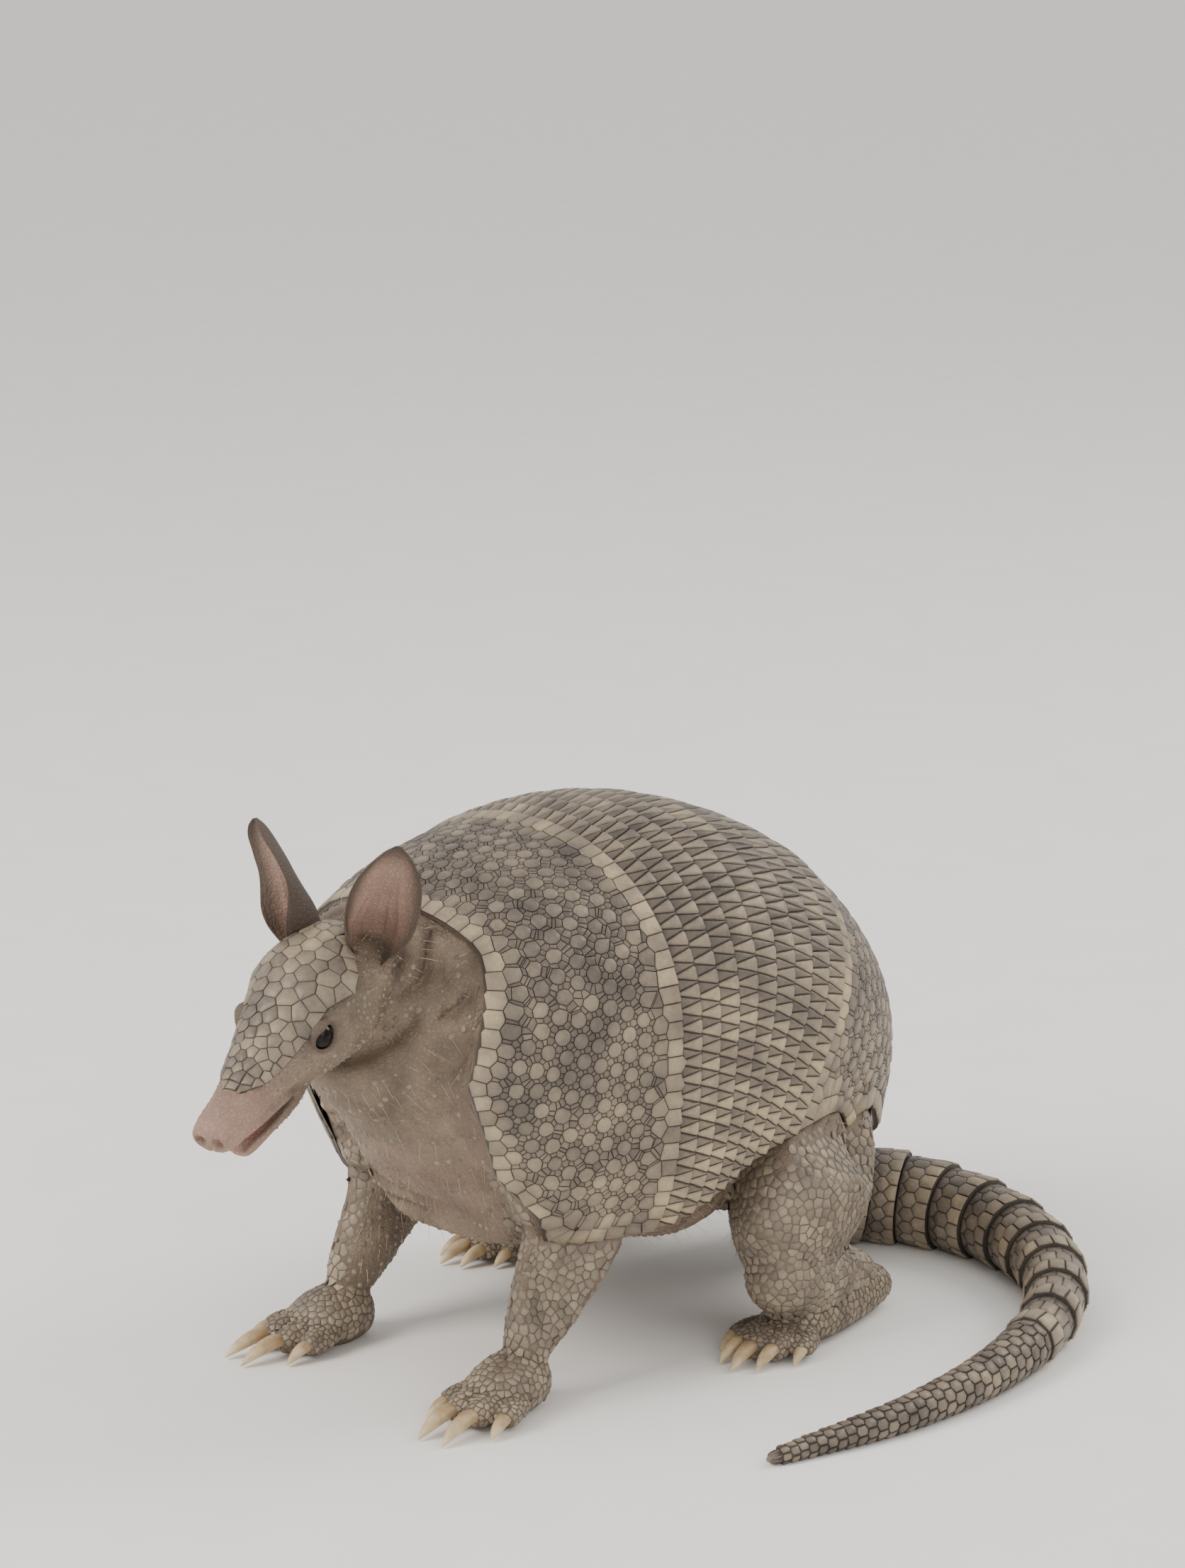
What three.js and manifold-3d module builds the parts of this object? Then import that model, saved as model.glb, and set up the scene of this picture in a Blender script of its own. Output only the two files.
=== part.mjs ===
// A nine-banded armadillo, life size, sitting on its haunches with its forelegs straight, its head
// turned a little to its left and its tail laid round its left side. Millimetres, +Z up, the head
// towards -Y, the animal's left at +X, everything that touches the floor cut flat at Z 0.
import * as THREE from 'three';
import { mergeVertices } from 'three/addons/utils/BufferGeometryUtils.js';
import Module from 'manifold-3d';

const wasm = await Module();
wasm.setup();

const GAP = 0.3; // clearance between neighbouring solids
const DEGREE = Math.PI / 180;
const SIDES = { left: 1, right: -1 };

// ---------------------------------------------------------------- shaping tools

const vector = (x, y, z) => new THREE.Vector3(x, y, z);
const lerp = THREE.MathUtils.lerp;
const smooth = THREE.MathUtils.smoothstep;
const power = (x, exponent) => Math.sign(x) * Math.abs(x) ** exponent;

/** The value at x of a smooth curve through [x, value] knots, flat beyond its ends. */
function through(knots, x) {
  const last = knots.length - 1;
  if (x <= knots[0][0]) return knots[0][1];
  if (x >= knots[last][0]) return knots[last][1];
  const i = knots.findIndex(([at]) => at > x) - 1;
  const slope = (k) => {
    const [a, b] = [knots[Math.max(k - 1, 0)], knots[Math.min(k + 1, last)]];
    return (b[1] - a[1]) / (b[0] - a[0]);
  };
  const span = knots[i + 1][0] - knots[i][0];
  const t = (x - knots[i][0]) / span;
  return (
    (1 + 2 * t) * (1 - t) ** 2 * knots[i][1] +
    t * (1 - t) ** 2 * span * slope(i) +
    t * t * (3 - 2 * t) * knots[i + 1][1] +
    t * t * (t - 1) * span * slope(i + 1)
  );
}

/** A closed stock geometry with every vertex moved to place(x, y, z), as a solid that faces out. */
function mould(geometry, place) {
  const bare = new THREE.BufferGeometry();
  bare.setAttribute('position', geometry.getAttribute('position').clone());
  bare.setIndex(geometry.index.clone());
  const merged = mergeVertices(bare, 1e-4);
  const position = merged.getAttribute('position');
  for (let i = 0; i < position.count; i += 1) {
    const moved = place(position.getX(i), position.getY(i), position.getZ(i));
    position.setXYZ(i, moved.x, moved.y, moved.z);
  }
  const corners = new Uint32Array(merged.index.array);
  const build = () =>
    new wasm.Manifold(
      new wasm.Mesh({ numProp: 3, vertProperties: position.array, triVerts: corners }),
    );
  const solid = build();
  if (solid.volume() > 0) return solid;
  for (let i = 0; i < corners.length; i += 3) {
    [corners[i + 1], corners[i + 2]] = [corners[i + 2], corners[i + 1]];
  }
  return build();
}

/** The largest of a solid's separate bodies. */
function largest(solid) {
  const bodies = solid.decompose();
  return bodies.reduce((a, b) => (a.volume() > b.volume() ? a : b));
}

const cutBy = (solid, tools) => largest(tools.reduce((left, tool) => left.subtract(tool), solid));

/** Side and up directions of the section across a path that runs along tangent. */
function sectionFrame(tangent, reference) {
  const up = reference.clone().addScaledVector(tangent, -reference.dot(tangent)).normalize();
  return { up, side: vector(0, 0, 0).crossVectors(up, tangent) };
}

/**
 * A round-ended body along a smooth route. wide and deep are its half sizes across the route, as
 * knots over the route's length, up is the direction that deep is measured in, and blunt is how
 * square its ends are, from 1 for an ellipsoid to 0 for flat ends.
 */
function limb({ route, wide, deep, up, blunt = 0.4, around = 12, along = 10, grow = 0 }) {
  const path = new THREE.CatmullRomCurve3(route.map((p) => vector(...p)));
  return mould(new THREE.SphereGeometry(1, around, along), (x, y, z) => {
    const t = (1 - y) / 2;
    const frame = sectionFrame(path.getTangent(t), up);
    const ring = Math.hypot(x, z);
    const reach = ring < 1e-6 ? 0 : ring ** blunt / ring;
    const ends = path.getTangent(t).multiplyScalar(-y * grow * (1 - ring));
    return path
      .getPoint(t)
      .add(ends)
      .addScaledVector(frame.side, x * reach * (through(wide, t) + grow))
      .addScaledVector(frame.up, z * reach * (through(deep, t) + grow));
  });
}

// ---------------------------------------------------------------- trunk and shell

// The trunk's middle line lies in the plane of symmetry, given by station: 0 is the front edge of
// the shell on the back and 1 its rear edge above the tail.
const SPINE_Y = [
  [-0.3, -128], [-0.24, -120], [0, -92], [0.25, -44], [0.5, 7], [0.75, 54], [1, 85], [1.1, 93],
  [1.15, 96.5],
];
const SPINE_Z = [
  [-0.3, 112], [-0.24, 114], [0, 123], [0.25, 127], [0.5, 122], [0.75, 98], [1, 58], [1.1, 40],
  [1.15, 31],
];
const TRUNK_ENDS = { chest: -0.24, rump: 1.1 };
const TRUNK_WIDE = [
  [-0.24, 12], [-0.21, 26], [-0.12, 44], [0, 59], [0.28, 73], [0.5, 76], [0.72, 71], [1, 46],
  [1.1, 25],
];
const TRUNK_HIGH = [
  [-0.24, 4], [-0.2, 10], [-0.1, 27], [0, 50], [0.28, 64], [0.5, 68], [0.72, 62], [1, 38],
  [1.1, 20],
];
const TRUNK_DEEP = [
  [-0.24, 10], [-0.21, 36], [-0.12, 60], [0, 74], [0.28, 85], [0.5, 87], [0.72, 81], [1, 48],
  [1.1, 22],
];
const UPPER_SQUARENESS = 2.25; // superellipse exponents of the sections, above and below their widest
const LOWER_SQUARENESS = 3.2;
const FLANK_TUCK = 0.17; // how much the flanks draw in below the shell's rim

/** The point at a station, at an angle from the middle of the back, out from the trunk's skin. */
function trunkPoint(station, angle, out, tuck = 0) {
  const squareness = Math.cos(angle) > 0 ? UPPER_SQUARENESS : LOWER_SQUARENESS;
  const side = power(Math.sin(angle), 2 / squareness);
  const rise = power(Math.cos(angle), 2 / squareness);
  const wide = through(TRUNK_WIDE, station) * (1 - tuck * smooth(Math.abs(angle), 1.3, 2.2)) + out;
  const high = through(rise > 0 ? TRUNK_HIGH : TRUNK_DEEP, station) + out;
  const step = 1e-3;
  const run = through(SPINE_Y, station + step) - through(SPINE_Y, station - step);
  const climb = through(SPINE_Z, station + step) - through(SPINE_Z, station - step);
  const length = Math.hypot(run, climb);
  return vector(
    side * wide,
    through(SPINE_Y, station) - (rise * high * climb) / length,
    through(SPINE_Z, station) + (rise * high * run) / length,
  );
}

function trunkSolid(grow = 0) {
  return mould(new THREE.CylinderGeometry(1, 1, 1, 16, 10), (x, y, z) => {
    const station = lerp(TRUNK_ENDS.chest, TRUNK_ENDS.rump, y + 0.5) + y * 0.02 * grow;
    const reach = Math.hypot(x, z);
    const rim = trunkPoint(station, Math.atan2(x, z), grow, FLANK_TUCK);
    const middle = trunkPoint(station, Math.PI / 2, 0);
    middle.x = 0;
    return middle.lerp(rim, reach);
  });
}

const SHELL = { inner: 1.6, outer: 3.8, lift: 1.2, collar: 6, scapularEnd: 0.28, bandsEnd: 0.64, bands: 9 };
const RIM_ANGLE = [
  [-0.1, 2.3], [0.1, 2.42], [0.28, 2.3], [0.45, 2.02], [0.64, 1.76], [0.85, 1.62], [1, 1.72],
];
const BAND_GAP = 0.4 / 300; // in stations

// Edge lines of the shields: the station at each place across, from -1 at one rim to 1 at the other.
const scapularFront = (across) =>
  -0.15 * smooth(Math.abs(across), 0.25, 0.65) + 0.17 * smooth(Math.abs(across), 0.8, 1) ** 2;
const pelvicRear = (across) =>
  1.0 + 0.05 * smooth(Math.abs(across), 0.05, 0.45) - 0.17 * smooth(Math.abs(across), 0.6, 1) ** 1.5;

/** A piece of shell between two edge lines, from inner to outer away from the skin. */
function shellSolid({ front, rear, inner, outer, around, along, spread = 0 }) {
  return mould(new THREE.BoxGeometry(2, 1, 1, around, along, 1), (x, y, z) => {
    const station = lerp(front(x), rear(x), y + 0.5);
    const angle = x * (through(RIM_ANGLE, station) + spread);
    const collar = SHELL.collar * smooth(-station, -0.05, 0.15);
    return trunkPoint(station, angle, lerp(inner, outer(y + 0.5), z + 0.5) + collar);
  });
}

/** The space that a shell piece and all inside it take, which limbs and neck keep out of. */
function underShell(front, rear) {
  return shellSolid({
    front: (across) => front(across) - 3 * BAND_GAP,
    rear: (across) => rear(across) + 3 * BAND_GAP,
    inner: -24,
    outer: () => SHELL.outer + SHELL.lift + 2 * GAP,
    around: 16,
    along: 4,
    spread: 0.03,
  });
}

const bandEdge = (i) => lerp(SHELL.scapularEnd, SHELL.bandsEnd, i / SHELL.bands);

function shellParts() {
  const lifted = (start) => (v) => SHELL.outer + SHELL.lift * smooth(v, start, 1);
  const parts = {
    scapular_shield: shellSolid({
      front: scapularFront,
      rear: () => SHELL.scapularEnd - BAND_GAP,
      inner: SHELL.inner,
      outer: lifted(0.8),
      around: 16,
      along: 4,
    }),
    pelvic_shield: shellSolid({
      front: () => SHELL.bandsEnd + BAND_GAP,
      rear: pelvicRear,
      inner: SHELL.inner,
      outer: lifted(0.9),
      around: 16,
      along: 4,
    }),
  };
  for (let i = 0; i < SHELL.bands; i += 1) {
    parts[`band_${i + 1}`] = shellSolid({
      front: () => bandEdge(i) + BAND_GAP,
      rear: () => bandEdge(i + 1) - BAND_GAP,
      inner: SHELL.inner,
      outer: lifted(0),
      around: 14,
      along: 1,
    });
  }
  return parts;
}

// ---------------------------------------------------------------- head

// The head has its own frame: X along the snout, Y to the animal's left, Z up, origin in the middle
// of the back of the skull.
const HEAD = { base: [3, -124, 164], yaw: 17 * DEGREE, pitch: 26 * DEGREE, roll: -4 * DEGREE, length: 100 };
const HEAD_WIDE = [
  [0, 17], [0.1, 20.5], [0.27, 22.5], [0.4, 20.5], [0.52, 16.2], [0.66, 12], [0.82, 9],
  [0.93, 8.4], [1, 7.4],
];
const HEAD_HIGH = [
  [0, 13], [0.12, 18.5], [0.3, 19.5], [0.44, 16.5], [0.56, 12.8], [0.7, 9.6], [0.85, 7.8],
  [0.95, 7.4], [1, 6.2],
];
const HEAD_DEEP = [
  [0, 17], [0.12, 20], [0.3, 19.5], [0.45, 16.5], [0.56, 12.5], [0.64, 7.6], [0.8, 5.8],
  [0.93, 6.2], [1, 5.4],
];

const headFrame = new THREE.Matrix4().makeBasis(vector(0, -1, 0), vector(1, 0, 0), vector(0, 0, 1));
headFrame.premultiply(
  new THREE.Matrix4().makeTranslation(...HEAD.base).multiply(
    new THREE.Matrix4().makeRotationZ(HEAD.yaw),
  ),
);
headFrame.multiply(new THREE.Matrix4().makeRotationY(HEAD.pitch));
headFrame.multiply(new THREE.Matrix4().makeRotationX(HEAD.roll));

/** The point at a place along the head, at an angle from its top, out from its skin. */
function headPoint(along, angle, out = 0) {
  const side = Math.sin(angle);
  const rise = Math.cos(angle);
  const nose = Math.sqrt(Math.max(0, 1 - Math.max(0, (along - 0.93) / 0.07) ** 4)) * 0.35 + 0.65;
  const high = through(rise > 0 ? HEAD_HIGH : HEAD_DEEP, along) * nose + out;
  const wide = through(HEAD_WIDE, along) * nose + out;
  return vector(
    along * HEAD.length,
    power(side, 0.92) * wide,
    power(rise, 0.92) * high,
  ).applyMatrix4(headFrame);
}

const inHead = (x, y, z) => vector(x, y, z).applyMatrix4(headFrame).toArray();
const headUp = vector(0, 0, 1).transformDirection(headFrame);

function skullSolid(grow = 0) {
  return mould(new THREE.CylinderGeometry(1, 1, 1, 14, 12), (x, y, z) => {
    const along = Math.min(1, Math.max(0, (1 - Math.cos((y + 0.5) * Math.PI)) / 2)) * 0.45 + (y + 0.5) * 0.55;
    const rim = headPoint(along + (y * 2 * grow) / HEAD.length, Math.atan2(x, z), grow);
    return headPoint(along, 0).lerp(headPoint(along, Math.PI), 0.5).lerp(rim, Math.hypot(x, z));
  });
}

const JAW = { hinge: 48, tip: 88, open: 12 * DEGREE, drop: -9 };

/** A point of the lower jaw, given where it would be with the mouth shut. */
function inJaw(x, y, z) {
  const [dx, dz] = [x - JAW.hinge, z - JAW.drop];
  return inHead(
    JAW.hinge + dx * Math.cos(JAW.open) + dz * Math.sin(JAW.open),
    y,
    JAW.drop - dx * Math.sin(JAW.open) + dz * Math.cos(JAW.open),
  );
}

function jawSolid(grow = 0) {
  return limb({
    route: [inJaw(JAW.hinge - 5, 0, -11), inJaw(60, 0, -10.6), inJaw(74, 0, -9.4), inJaw(JAW.tip, 0, -8.6)],
    wide: [[0, 10.5], [0.4, 9.5], [0.7, 7.2], [1, 5.6]],
    deep: [[0, 5], [0.4, 4.6], [0.7, 3.4], [1, 2.6]],
    up: headUp,
    around: 10,
    along: 8,
    grow,
  });
}

function tongueSolid() {
  return limb({
    route: [inJaw(56, 0, -7.2), inJaw(70, 0, -6.2), inJaw(JAW.tip - 5, 0, -5.4)],
    wide: [[0, 5.2], [0.6, 4.4], [1, 3.4]],
    deep: [[0, 1.8], [1, 1.5]],
    up: headUp,
    around: 8,
    along: 5,
  });
}

const HEAD_SHIELD = { front: 0.82, back: 0.02, inner: 0.7, outer: 2.1 };
const HEAD_SHIELD_RIM = [
  [0, 0.72], [0.14, 0.62], [0.3, 0.98], [0.42, 0.84], [0.6, 0.98], [0.74, 0.9], [0.82, 0.4],
];

/** The head shield, or, grown, the space it takes. */
function headShieldSolid(grow = 0) {
  return mould(new THREE.BoxGeometry(2, 1, 1, 8, 9, 1), (x, y, z) => {
    const along = lerp(HEAD_SHIELD.back, HEAD_SHIELD.front, y + 0.5) + (y * 2 * grow) / HEAD.length;
    const angle = x * (through(HEAD_SHIELD_RIM, along) + grow / 18);
    return headPoint(along, angle, lerp(HEAD_SHIELD.inner - grow, HEAD_SHIELD.outer + grow, z + 0.5));
  });
}

const EYE = { along: 47, side: 13.4, height: 5.6, radius: 5 };

function eyeSolid(hand, grow = 0) {
  const centre = vector(...inHead(EYE.along, hand * EYE.side, EYE.height));
  return mould(new THREE.SphereGeometry(EYE.radius + grow, 10, 6), (x, y, z) => vector(x, y, z).add(centre));
}

const EAR = {
  along: 8,
  side: 12.5,
  height: 13,
  length: 46,
  halfWidth: 12.5,
  splay: 20 * DEGREE,
  lean: 14 * DEGREE,
  wall: 1.8,
};
const EAR_OUTLINE = [[0, 0.5], [0.3, 0.92], [0.55, 1], [0.8, 0.78], [0.94, 0.42], [1, 0.12]];

/** A cupped leaf-shaped ear that opens forwards and outwards and is rolled into a tube at its foot. */
function earSolid(hand) {
  const root = vector(EAR.along, hand * EAR.side, EAR.height);
  const stem = vector(-Math.sin(EAR.lean), hand * Math.sin(EAR.splay), 1).normalize();
  const facing = vector(0.86, hand * 0.5, 0).addScaledVector(stem, 0).normalize();
  const facingUp = facing.clone().addScaledVector(stem, -facing.dot(stem)).normalize();
  const across = vector(0, 0, 0).crossVectors(stem, facingUp);
  return mould(new THREE.BoxGeometry(2, 1, 1, 6, 6, 1), (x, y, z) => {
    const up = y + 0.5;
    const halfWidth = EAR.halfWidth * through(EAR_OUTLINE, up);
    const curl = lerp(2.3, 0.75, smooth(up, 0, 0.55)); // half angle that the leaf is rolled through
    const rollRadius = halfWidth / Math.sin(Math.min(curl, Math.PI / 2));
    const wall = EAR.wall * lerp(1, 0.55, up) * (1 - 0.35 * x * x);
    const radius = rollRadius + (z - 0.5) * wall;
    return root
      .clone()
      .addScaledVector(stem, up * EAR.length - 4)
      .addScaledVector(across, Math.sin(x * curl) * radius)
      .addScaledVector(facingUp, rollRadius * Math.cos(curl * 0.5) - Math.cos(x * curl) * radius)
      .applyMatrix4(headFrame);
  });
}

function neckSolid() {
  return limb({
    route: [[0, -88, 122], [0, -104, 138], [1, -118, 152], inHead(12, 0, 0)],
    wide: [[0, 44], [0.4, 37], [0.75, 27], [1, 19]],
    deep: [[0, 44], [0.4, 38], [0.75, 28], [1, 18]],
    up: vector(0, 0, 1),
    around: 14,
    along: 6,
    blunt: 0.3,
  });
}

// ---------------------------------------------------------------- legs, feet and claws

// Each foot stands on the floor at its ankle, turned out by yaw, with toes spread across it.
const FORE = {
  limbs: [
    {
      route: [[36, -74, 108], [44, -66, 84], [48, -62, 62], [48, -76, 36], [47, -88, 17]],
      wide: [[0, 18], [0.3, 17], [0.55, 15], [0.8, 12.5], [1, 11.5]],
      deep: [[0, 26], [0.3, 25], [0.55, 20], [0.8, 14.5], [1, 12.5]],
      up: [0, 1, 0.35],
    },
  ],
  ankle: [47, -88],
  yaw: 7 * DEGREE,
  palm: { back: -10, front: 20, high: 17, wide: 14 },
  toes: [
    { name: 'inner', across: -11, reach: 24, spread: -0.12, size: 4.4, claw: 13 },
    { name: 'second', across: -4, reach: 30, spread: -0.03, size: 5.2, claw: 21 },
    { name: 'third', across: 4, reach: 30, spread: 0.05, size: 5.2, claw: 21 },
    { name: 'outer', across: 11, reach: 23, spread: 0.16, size: 4.4, claw: 13 },
  ],
};
const HIND = {
  limbs: [
    {
      route: [[36, 78, 74], [54, 52, 62], [67, 26, 49], [75, 6, 40]],
      wide: [[0, 22], [0.35, 27], [0.7, 22], [1, 16]],
      deep: [[0, 34], [0.35, 41], [0.7, 34], [1, 24]],
      up: [0, 0.35, 1],
    },
    {
      route: [[75, 6, 34], [72, 26, 25], [68, 48, 19], [65, 72, 15]],
      wide: [[0, 15], [0.5, 13], [1, 10]],
      deep: [[0, 18], [0.5, 14], [1, 11]],
      up: [0, 0, 1],
    },
  ],
  ankle: [65, 68],
  yaw: 9 * DEGREE,
  palm: { back: -14, front: 56, high: 15, wide: 14 },
  toes: [
    { name: 'first', across: -12, reach: 60, spread: -0.14, size: 4, claw: 10 },
    { name: 'second', across: -6.2, reach: 67, spread: -0.06, size: 4.6, claw: 14 },
    { name: 'third', across: 0, reach: 69, spread: 0, size: 4.9, claw: 16 },
    { name: 'fourth', across: 6.2, reach: 66, spread: 0.06, size: 4.6, claw: 14 },
    { name: 'fifth', across: 12, reach: 57, spread: 0.14, size: 4, claw: 10 },
  ],
};

const mirrored = (points, hand) => points.map(([x, y, z]) => [hand * x, y, z]);

/** A point given along a foot, across it towards the outside, and above the floor. */
function onFoot(leg, hand, forward, outward, height) {
  const [c, s] = [Math.cos(leg.yaw), Math.sin(leg.yaw)];
  return [
    hand * (leg.ankle[0] + forward * s + outward * c),
    leg.ankle[1] - forward * c + outward * s,
    height,
  ];
}

function legSolid(leg, hand) {
  const shape = { around: 10, along: 8, blunt: 0.5 };
  const limbs = leg.limbs.map(({ route, wide, deep, up }) =>
    limb({ route: mirrored(route, hand), wide, deep, up: vector(...up).normalize(), ...shape }),
  );
  return limbs.reduce((joined, next) => joined.add(next));
}

function clawSolid(leg, hand, toe, grow = 0) {
  const start = toe.reach - 3;
  const across = (f) => toe.across + toe.spread * (f * toe.claw + 12);
  const at = (f, z) => onFoot(leg, hand, start + f * toe.claw, across(f), z);
  return limb({
    route: [at(0, toe.size * 1.25), at(0.35, toe.size * 1.3), at(0.72, toe.size * 0.82), at(1, 0.9)],
    wide: [[0, toe.size * 0.55], [0.3, toe.size * 0.62], [0.75, toe.size * 0.4], [1, 0.55]],
    deep: [[0, toe.size * 0.5], [0.3, toe.size * 0.52], [0.75, toe.size * 0.34], [1, 0.5]],
    up: vector(0, 0, 1),
    around: 6,
    along: 4,
    blunt: 0.55,
    grow,
  });
}

function footSolid(leg, hand, grow = 0) {
  const { back, front, high, wide } = leg.palm;
  const palm = limb({
    route: [
      onFoot(leg, hand, back, 0, high * 0.55),
      onFoot(leg, hand, lerp(back, front, 0.5), 0, high * 0.56),
      onFoot(leg, hand, front, 0, high * 0.4),
    ],
    wide: [[0, wide * 0.78], [0.5, wide * 0.92], [1, wide]],
    deep: [[0, high * 0.66], [0.5, high * 0.66], [1, high * 0.52]],
    up: vector(0, 0, 1),
    around: 8,
    along: 5,
    grow,
  });
  return leg.toes.reduce((foot, toe) => {
    const at = (f, z) => onFoot(leg, hand, f, toe.across + toe.spread * (f - toe.reach + 12), z);
    const digit = limb({
      route: [
        at(front - 10, high * 0.42),
        at(lerp(front, toe.reach, 0.4), toe.size * 1.25),
        at(toe.reach + 1, toe.size * 0.95),
      ],
      wide: [[0, toe.size * 0.95], [1, toe.size * 0.9]],
      deep: [[0, toe.size * 1.05], [1, toe.size * 0.98]],
      up: vector(0, 0, 1),
      around: 6,
      along: 3,
      grow,
    });
    return foot.add(digit);
  }, palm);
}

// ---------------------------------------------------------------- tail

const TAIL = {
  route: [[0, 84], [3, 112], [24, 137], [62, 146], [102, 132], [134, 98], [152, 50], [156, -6], [146, -66]],
  baseHeight: 27, // how far the root is lifted above lying on the floor
  landing: 0.13, // where along its length the tail meets the floor
  rings: 12,
  inBody: 3, // how many rings the rump and the shell's rear edge cut into
  ringsEnd: 0.7,
  flare: 0.05,
};
const TAIL_RADIUS = [[0, 21.5], [0.15, 19.5], [0.4, 14.6], [0.7, 9], [0.9, 5.2], [1, 2.6]];
const FLOOR_BITE = 0.965; // height of the middle line over the radius, so that the floor cuts a small flat

const tailPath = new THREE.CatmullRomCurve3(TAIL.route.map(([x, y]) => vector(x, y, 0)));

function tailCentre(t) {
  const lift = TAIL.baseHeight * Math.max(0, 1 - t / TAIL.landing / 2) ** 3;
  return tailPath.getPoint(t).setZ(through(TAIL_RADIUS, t) * FLOOR_BITE + lift);
}

function tailPoint(t, angle, radius) {
  const step = 1e-3;
  const tangent = tailCentre(Math.min(1, t + step)).sub(tailCentre(Math.max(0, t - step))).normalize();
  const frame = sectionFrame(tangent, vector(0, 0, 1));
  return tailCentre(t)
    .addScaledVector(frame.side, Math.sin(angle) * radius)
    .addScaledVector(frame.up, Math.cos(angle) * radius);
}

const ringEdge = (i) => TAIL.ringsEnd * lerp(i / TAIL.rings, Math.sqrt(i / TAIL.rings), 0.12);

function tailRing(i) {
  const margin = GAP / 2 / 370;
  return mould(new THREE.CylinderGeometry(1, 1, 1, 14, 1), (x, y, z) => {
    const t = lerp(ringEdge(i) + margin, ringEdge(i + 1) - margin, y + 0.5);
    const radius = through(TAIL_RADIUS, t) * (1 + TAIL.flare * 2 * y);
    return tailPoint(t, Math.atan2(x, z), radius * Math.hypot(x, z));
  });
}

function tailTip() {
  return mould(new THREE.CylinderGeometry(1, 1, 1, 12, 6), (x, y, z) => {
    const t = lerp(ringEdge(TAIL.rings) + GAP / 370, 1, y + 0.5);
    const close = y > 0.49 ? 0.5 : 1;
    return tailPoint(t, Math.atan2(x, z), through(TAIL_RADIUS, t) * close * Math.hypot(x, z));
  });
}

// ---------------------------------------------------------------- assembly

const finish = (color, roughness) => new THREE.MeshStandardMaterial({ color, roughness, metalness: 0 });
const MATERIALS = {
  skin: finish(0xa98f7c, 0.75),
  shell: finish(0x7d6a55, 0.55),
  ear: finish(0x8a7366, 0.7),
  eye: finish(0x120c09, 0.1),
  claw: finish(0xcdb98f, 0.4),
  tongue: finish(0xb9696a, 0.4),
};

const armadillo = new THREE.Group();
const floor = mould(new THREE.BoxGeometry(900, 900, 60), (x, y, z) => vector(x, y, z - 30));

function addNode(name, solid, material) {
  const whole = solid.subtract(floor).getMesh();
  const geometry = new THREE.BufferGeometry();
  geometry.setAttribute('position', new THREE.BufferAttribute(whole.vertProperties, 3));
  geometry.setIndex(new THREE.BufferAttribute(whole.triVerts, 1));
  geometry.computeVertexNormals();
  const mesh = new THREE.Mesh(geometry, material);
  mesh.name = name;
  armadillo.add(mesh);
}

const trunkGrown = trunkSolid(GAP);
const skullGrown = skullSolid(GAP);
const shellSpaces = [
  underShell(scapularFront, () => SHELL.scapularEnd),
  underShell(() => SHELL.scapularEnd, () => SHELL.bandsEnd),
  underShell(() => SHELL.bandsEnd, pelvicRear),
];

addNode('trunk', trunkSolid(), MATERIALS.skin);
for (const [name, solid] of Object.entries(shellParts())) addNode(name, solid, MATERIALS.shell);

const eyeSpaces = Object.values(SIDES).map((hand) => eyeSolid(hand, GAP));
addNode('head', cutBy(skullSolid(), [jawSolid(GAP), ...eyeSpaces]), MATERIALS.skin);
addNode('head_shield', headShieldSolid(), MATERIALS.shell);
addNode('lower_jaw', jawSolid(), MATERIALS.skin);
addNode('tongue', cutBy(tongueSolid(), [jawSolid(GAP), skullGrown]), MATERIALS.tongue);
const roundNeck = [trunkGrown, skullGrown, jawSolid(GAP), headShieldSolid(GAP), shellSpaces[0]];
addNode('neck', cutBy(neckSolid(), roundNeck), MATERIALS.skin);

for (const [side, hand] of Object.entries(SIDES)) {
  addNode(`eye_${side}`, cutBy(eyeSolid(hand), [headShieldSolid(GAP)]), MATERIALS.eye);
  addNode(`ear_${side}`, cutBy(earSolid(hand), [skullGrown, headShieldSolid(GAP)]), MATERIALS.ear);
  for (const [kind, leg] of Object.entries({ fore: FORE, hind: HIND })) {
    const clawSpaces = leg.toes.map((toe) => clawSolid(leg, hand, toe, GAP));
    const roundLeg = [trunkGrown, footSolid(leg, hand, GAP), ...shellSpaces];
    addNode(`${kind}leg_${side}`, cutBy(legSolid(leg, hand), roundLeg), MATERIALS.skin);
    addNode(`${kind}foot_${side}`, cutBy(footSolid(leg, hand), clawSpaces), MATERIALS.skin);
    for (const toe of leg.toes) {
      addNode(`${kind}claw_${toe.name}_${side}`, clawSolid(leg, hand, toe), MATERIALS.claw);
    }
  }
}

for (let i = 0; i < TAIL.rings; i += 1) {
  const ring = i < TAIL.inBody ? cutBy(tailRing(i), [trunkGrown, shellSpaces[2]]) : tailRing(i);
  addNode(`tail_ring_${String(i + 1).padStart(2, '0')}`, ring, MATERIALS.shell);
}
addNode('tail_tip', tailTip(), MATERIALS.shell);

// The origin is on the floor, below the middle of the model's box.
const box = new THREE.Box3().setFromObject(armadillo);
const middle = box.getCenter(vector(0, 0, 0));
armadillo.position.set(-middle.x, -middle.y, -box.min.z);

export default armadillo;
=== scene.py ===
"""A nine-banded armadillo sitting on its haunches: the life-size still model's looks."""

import logging
import math
import random
from dataclasses import dataclass, field
from enum import Enum, IntEnum
from functools import partial
from typing import Callable, Iterable, Sequence

import bmesh
import bpy
import numpy as np
from mathutils import Matrix, Vector, noise
from mathutils.bvhtree import BVHTree
from mathutils.geometry import delaunay_2d_cdt
from mathutils.kdtree import KDTree


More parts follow.
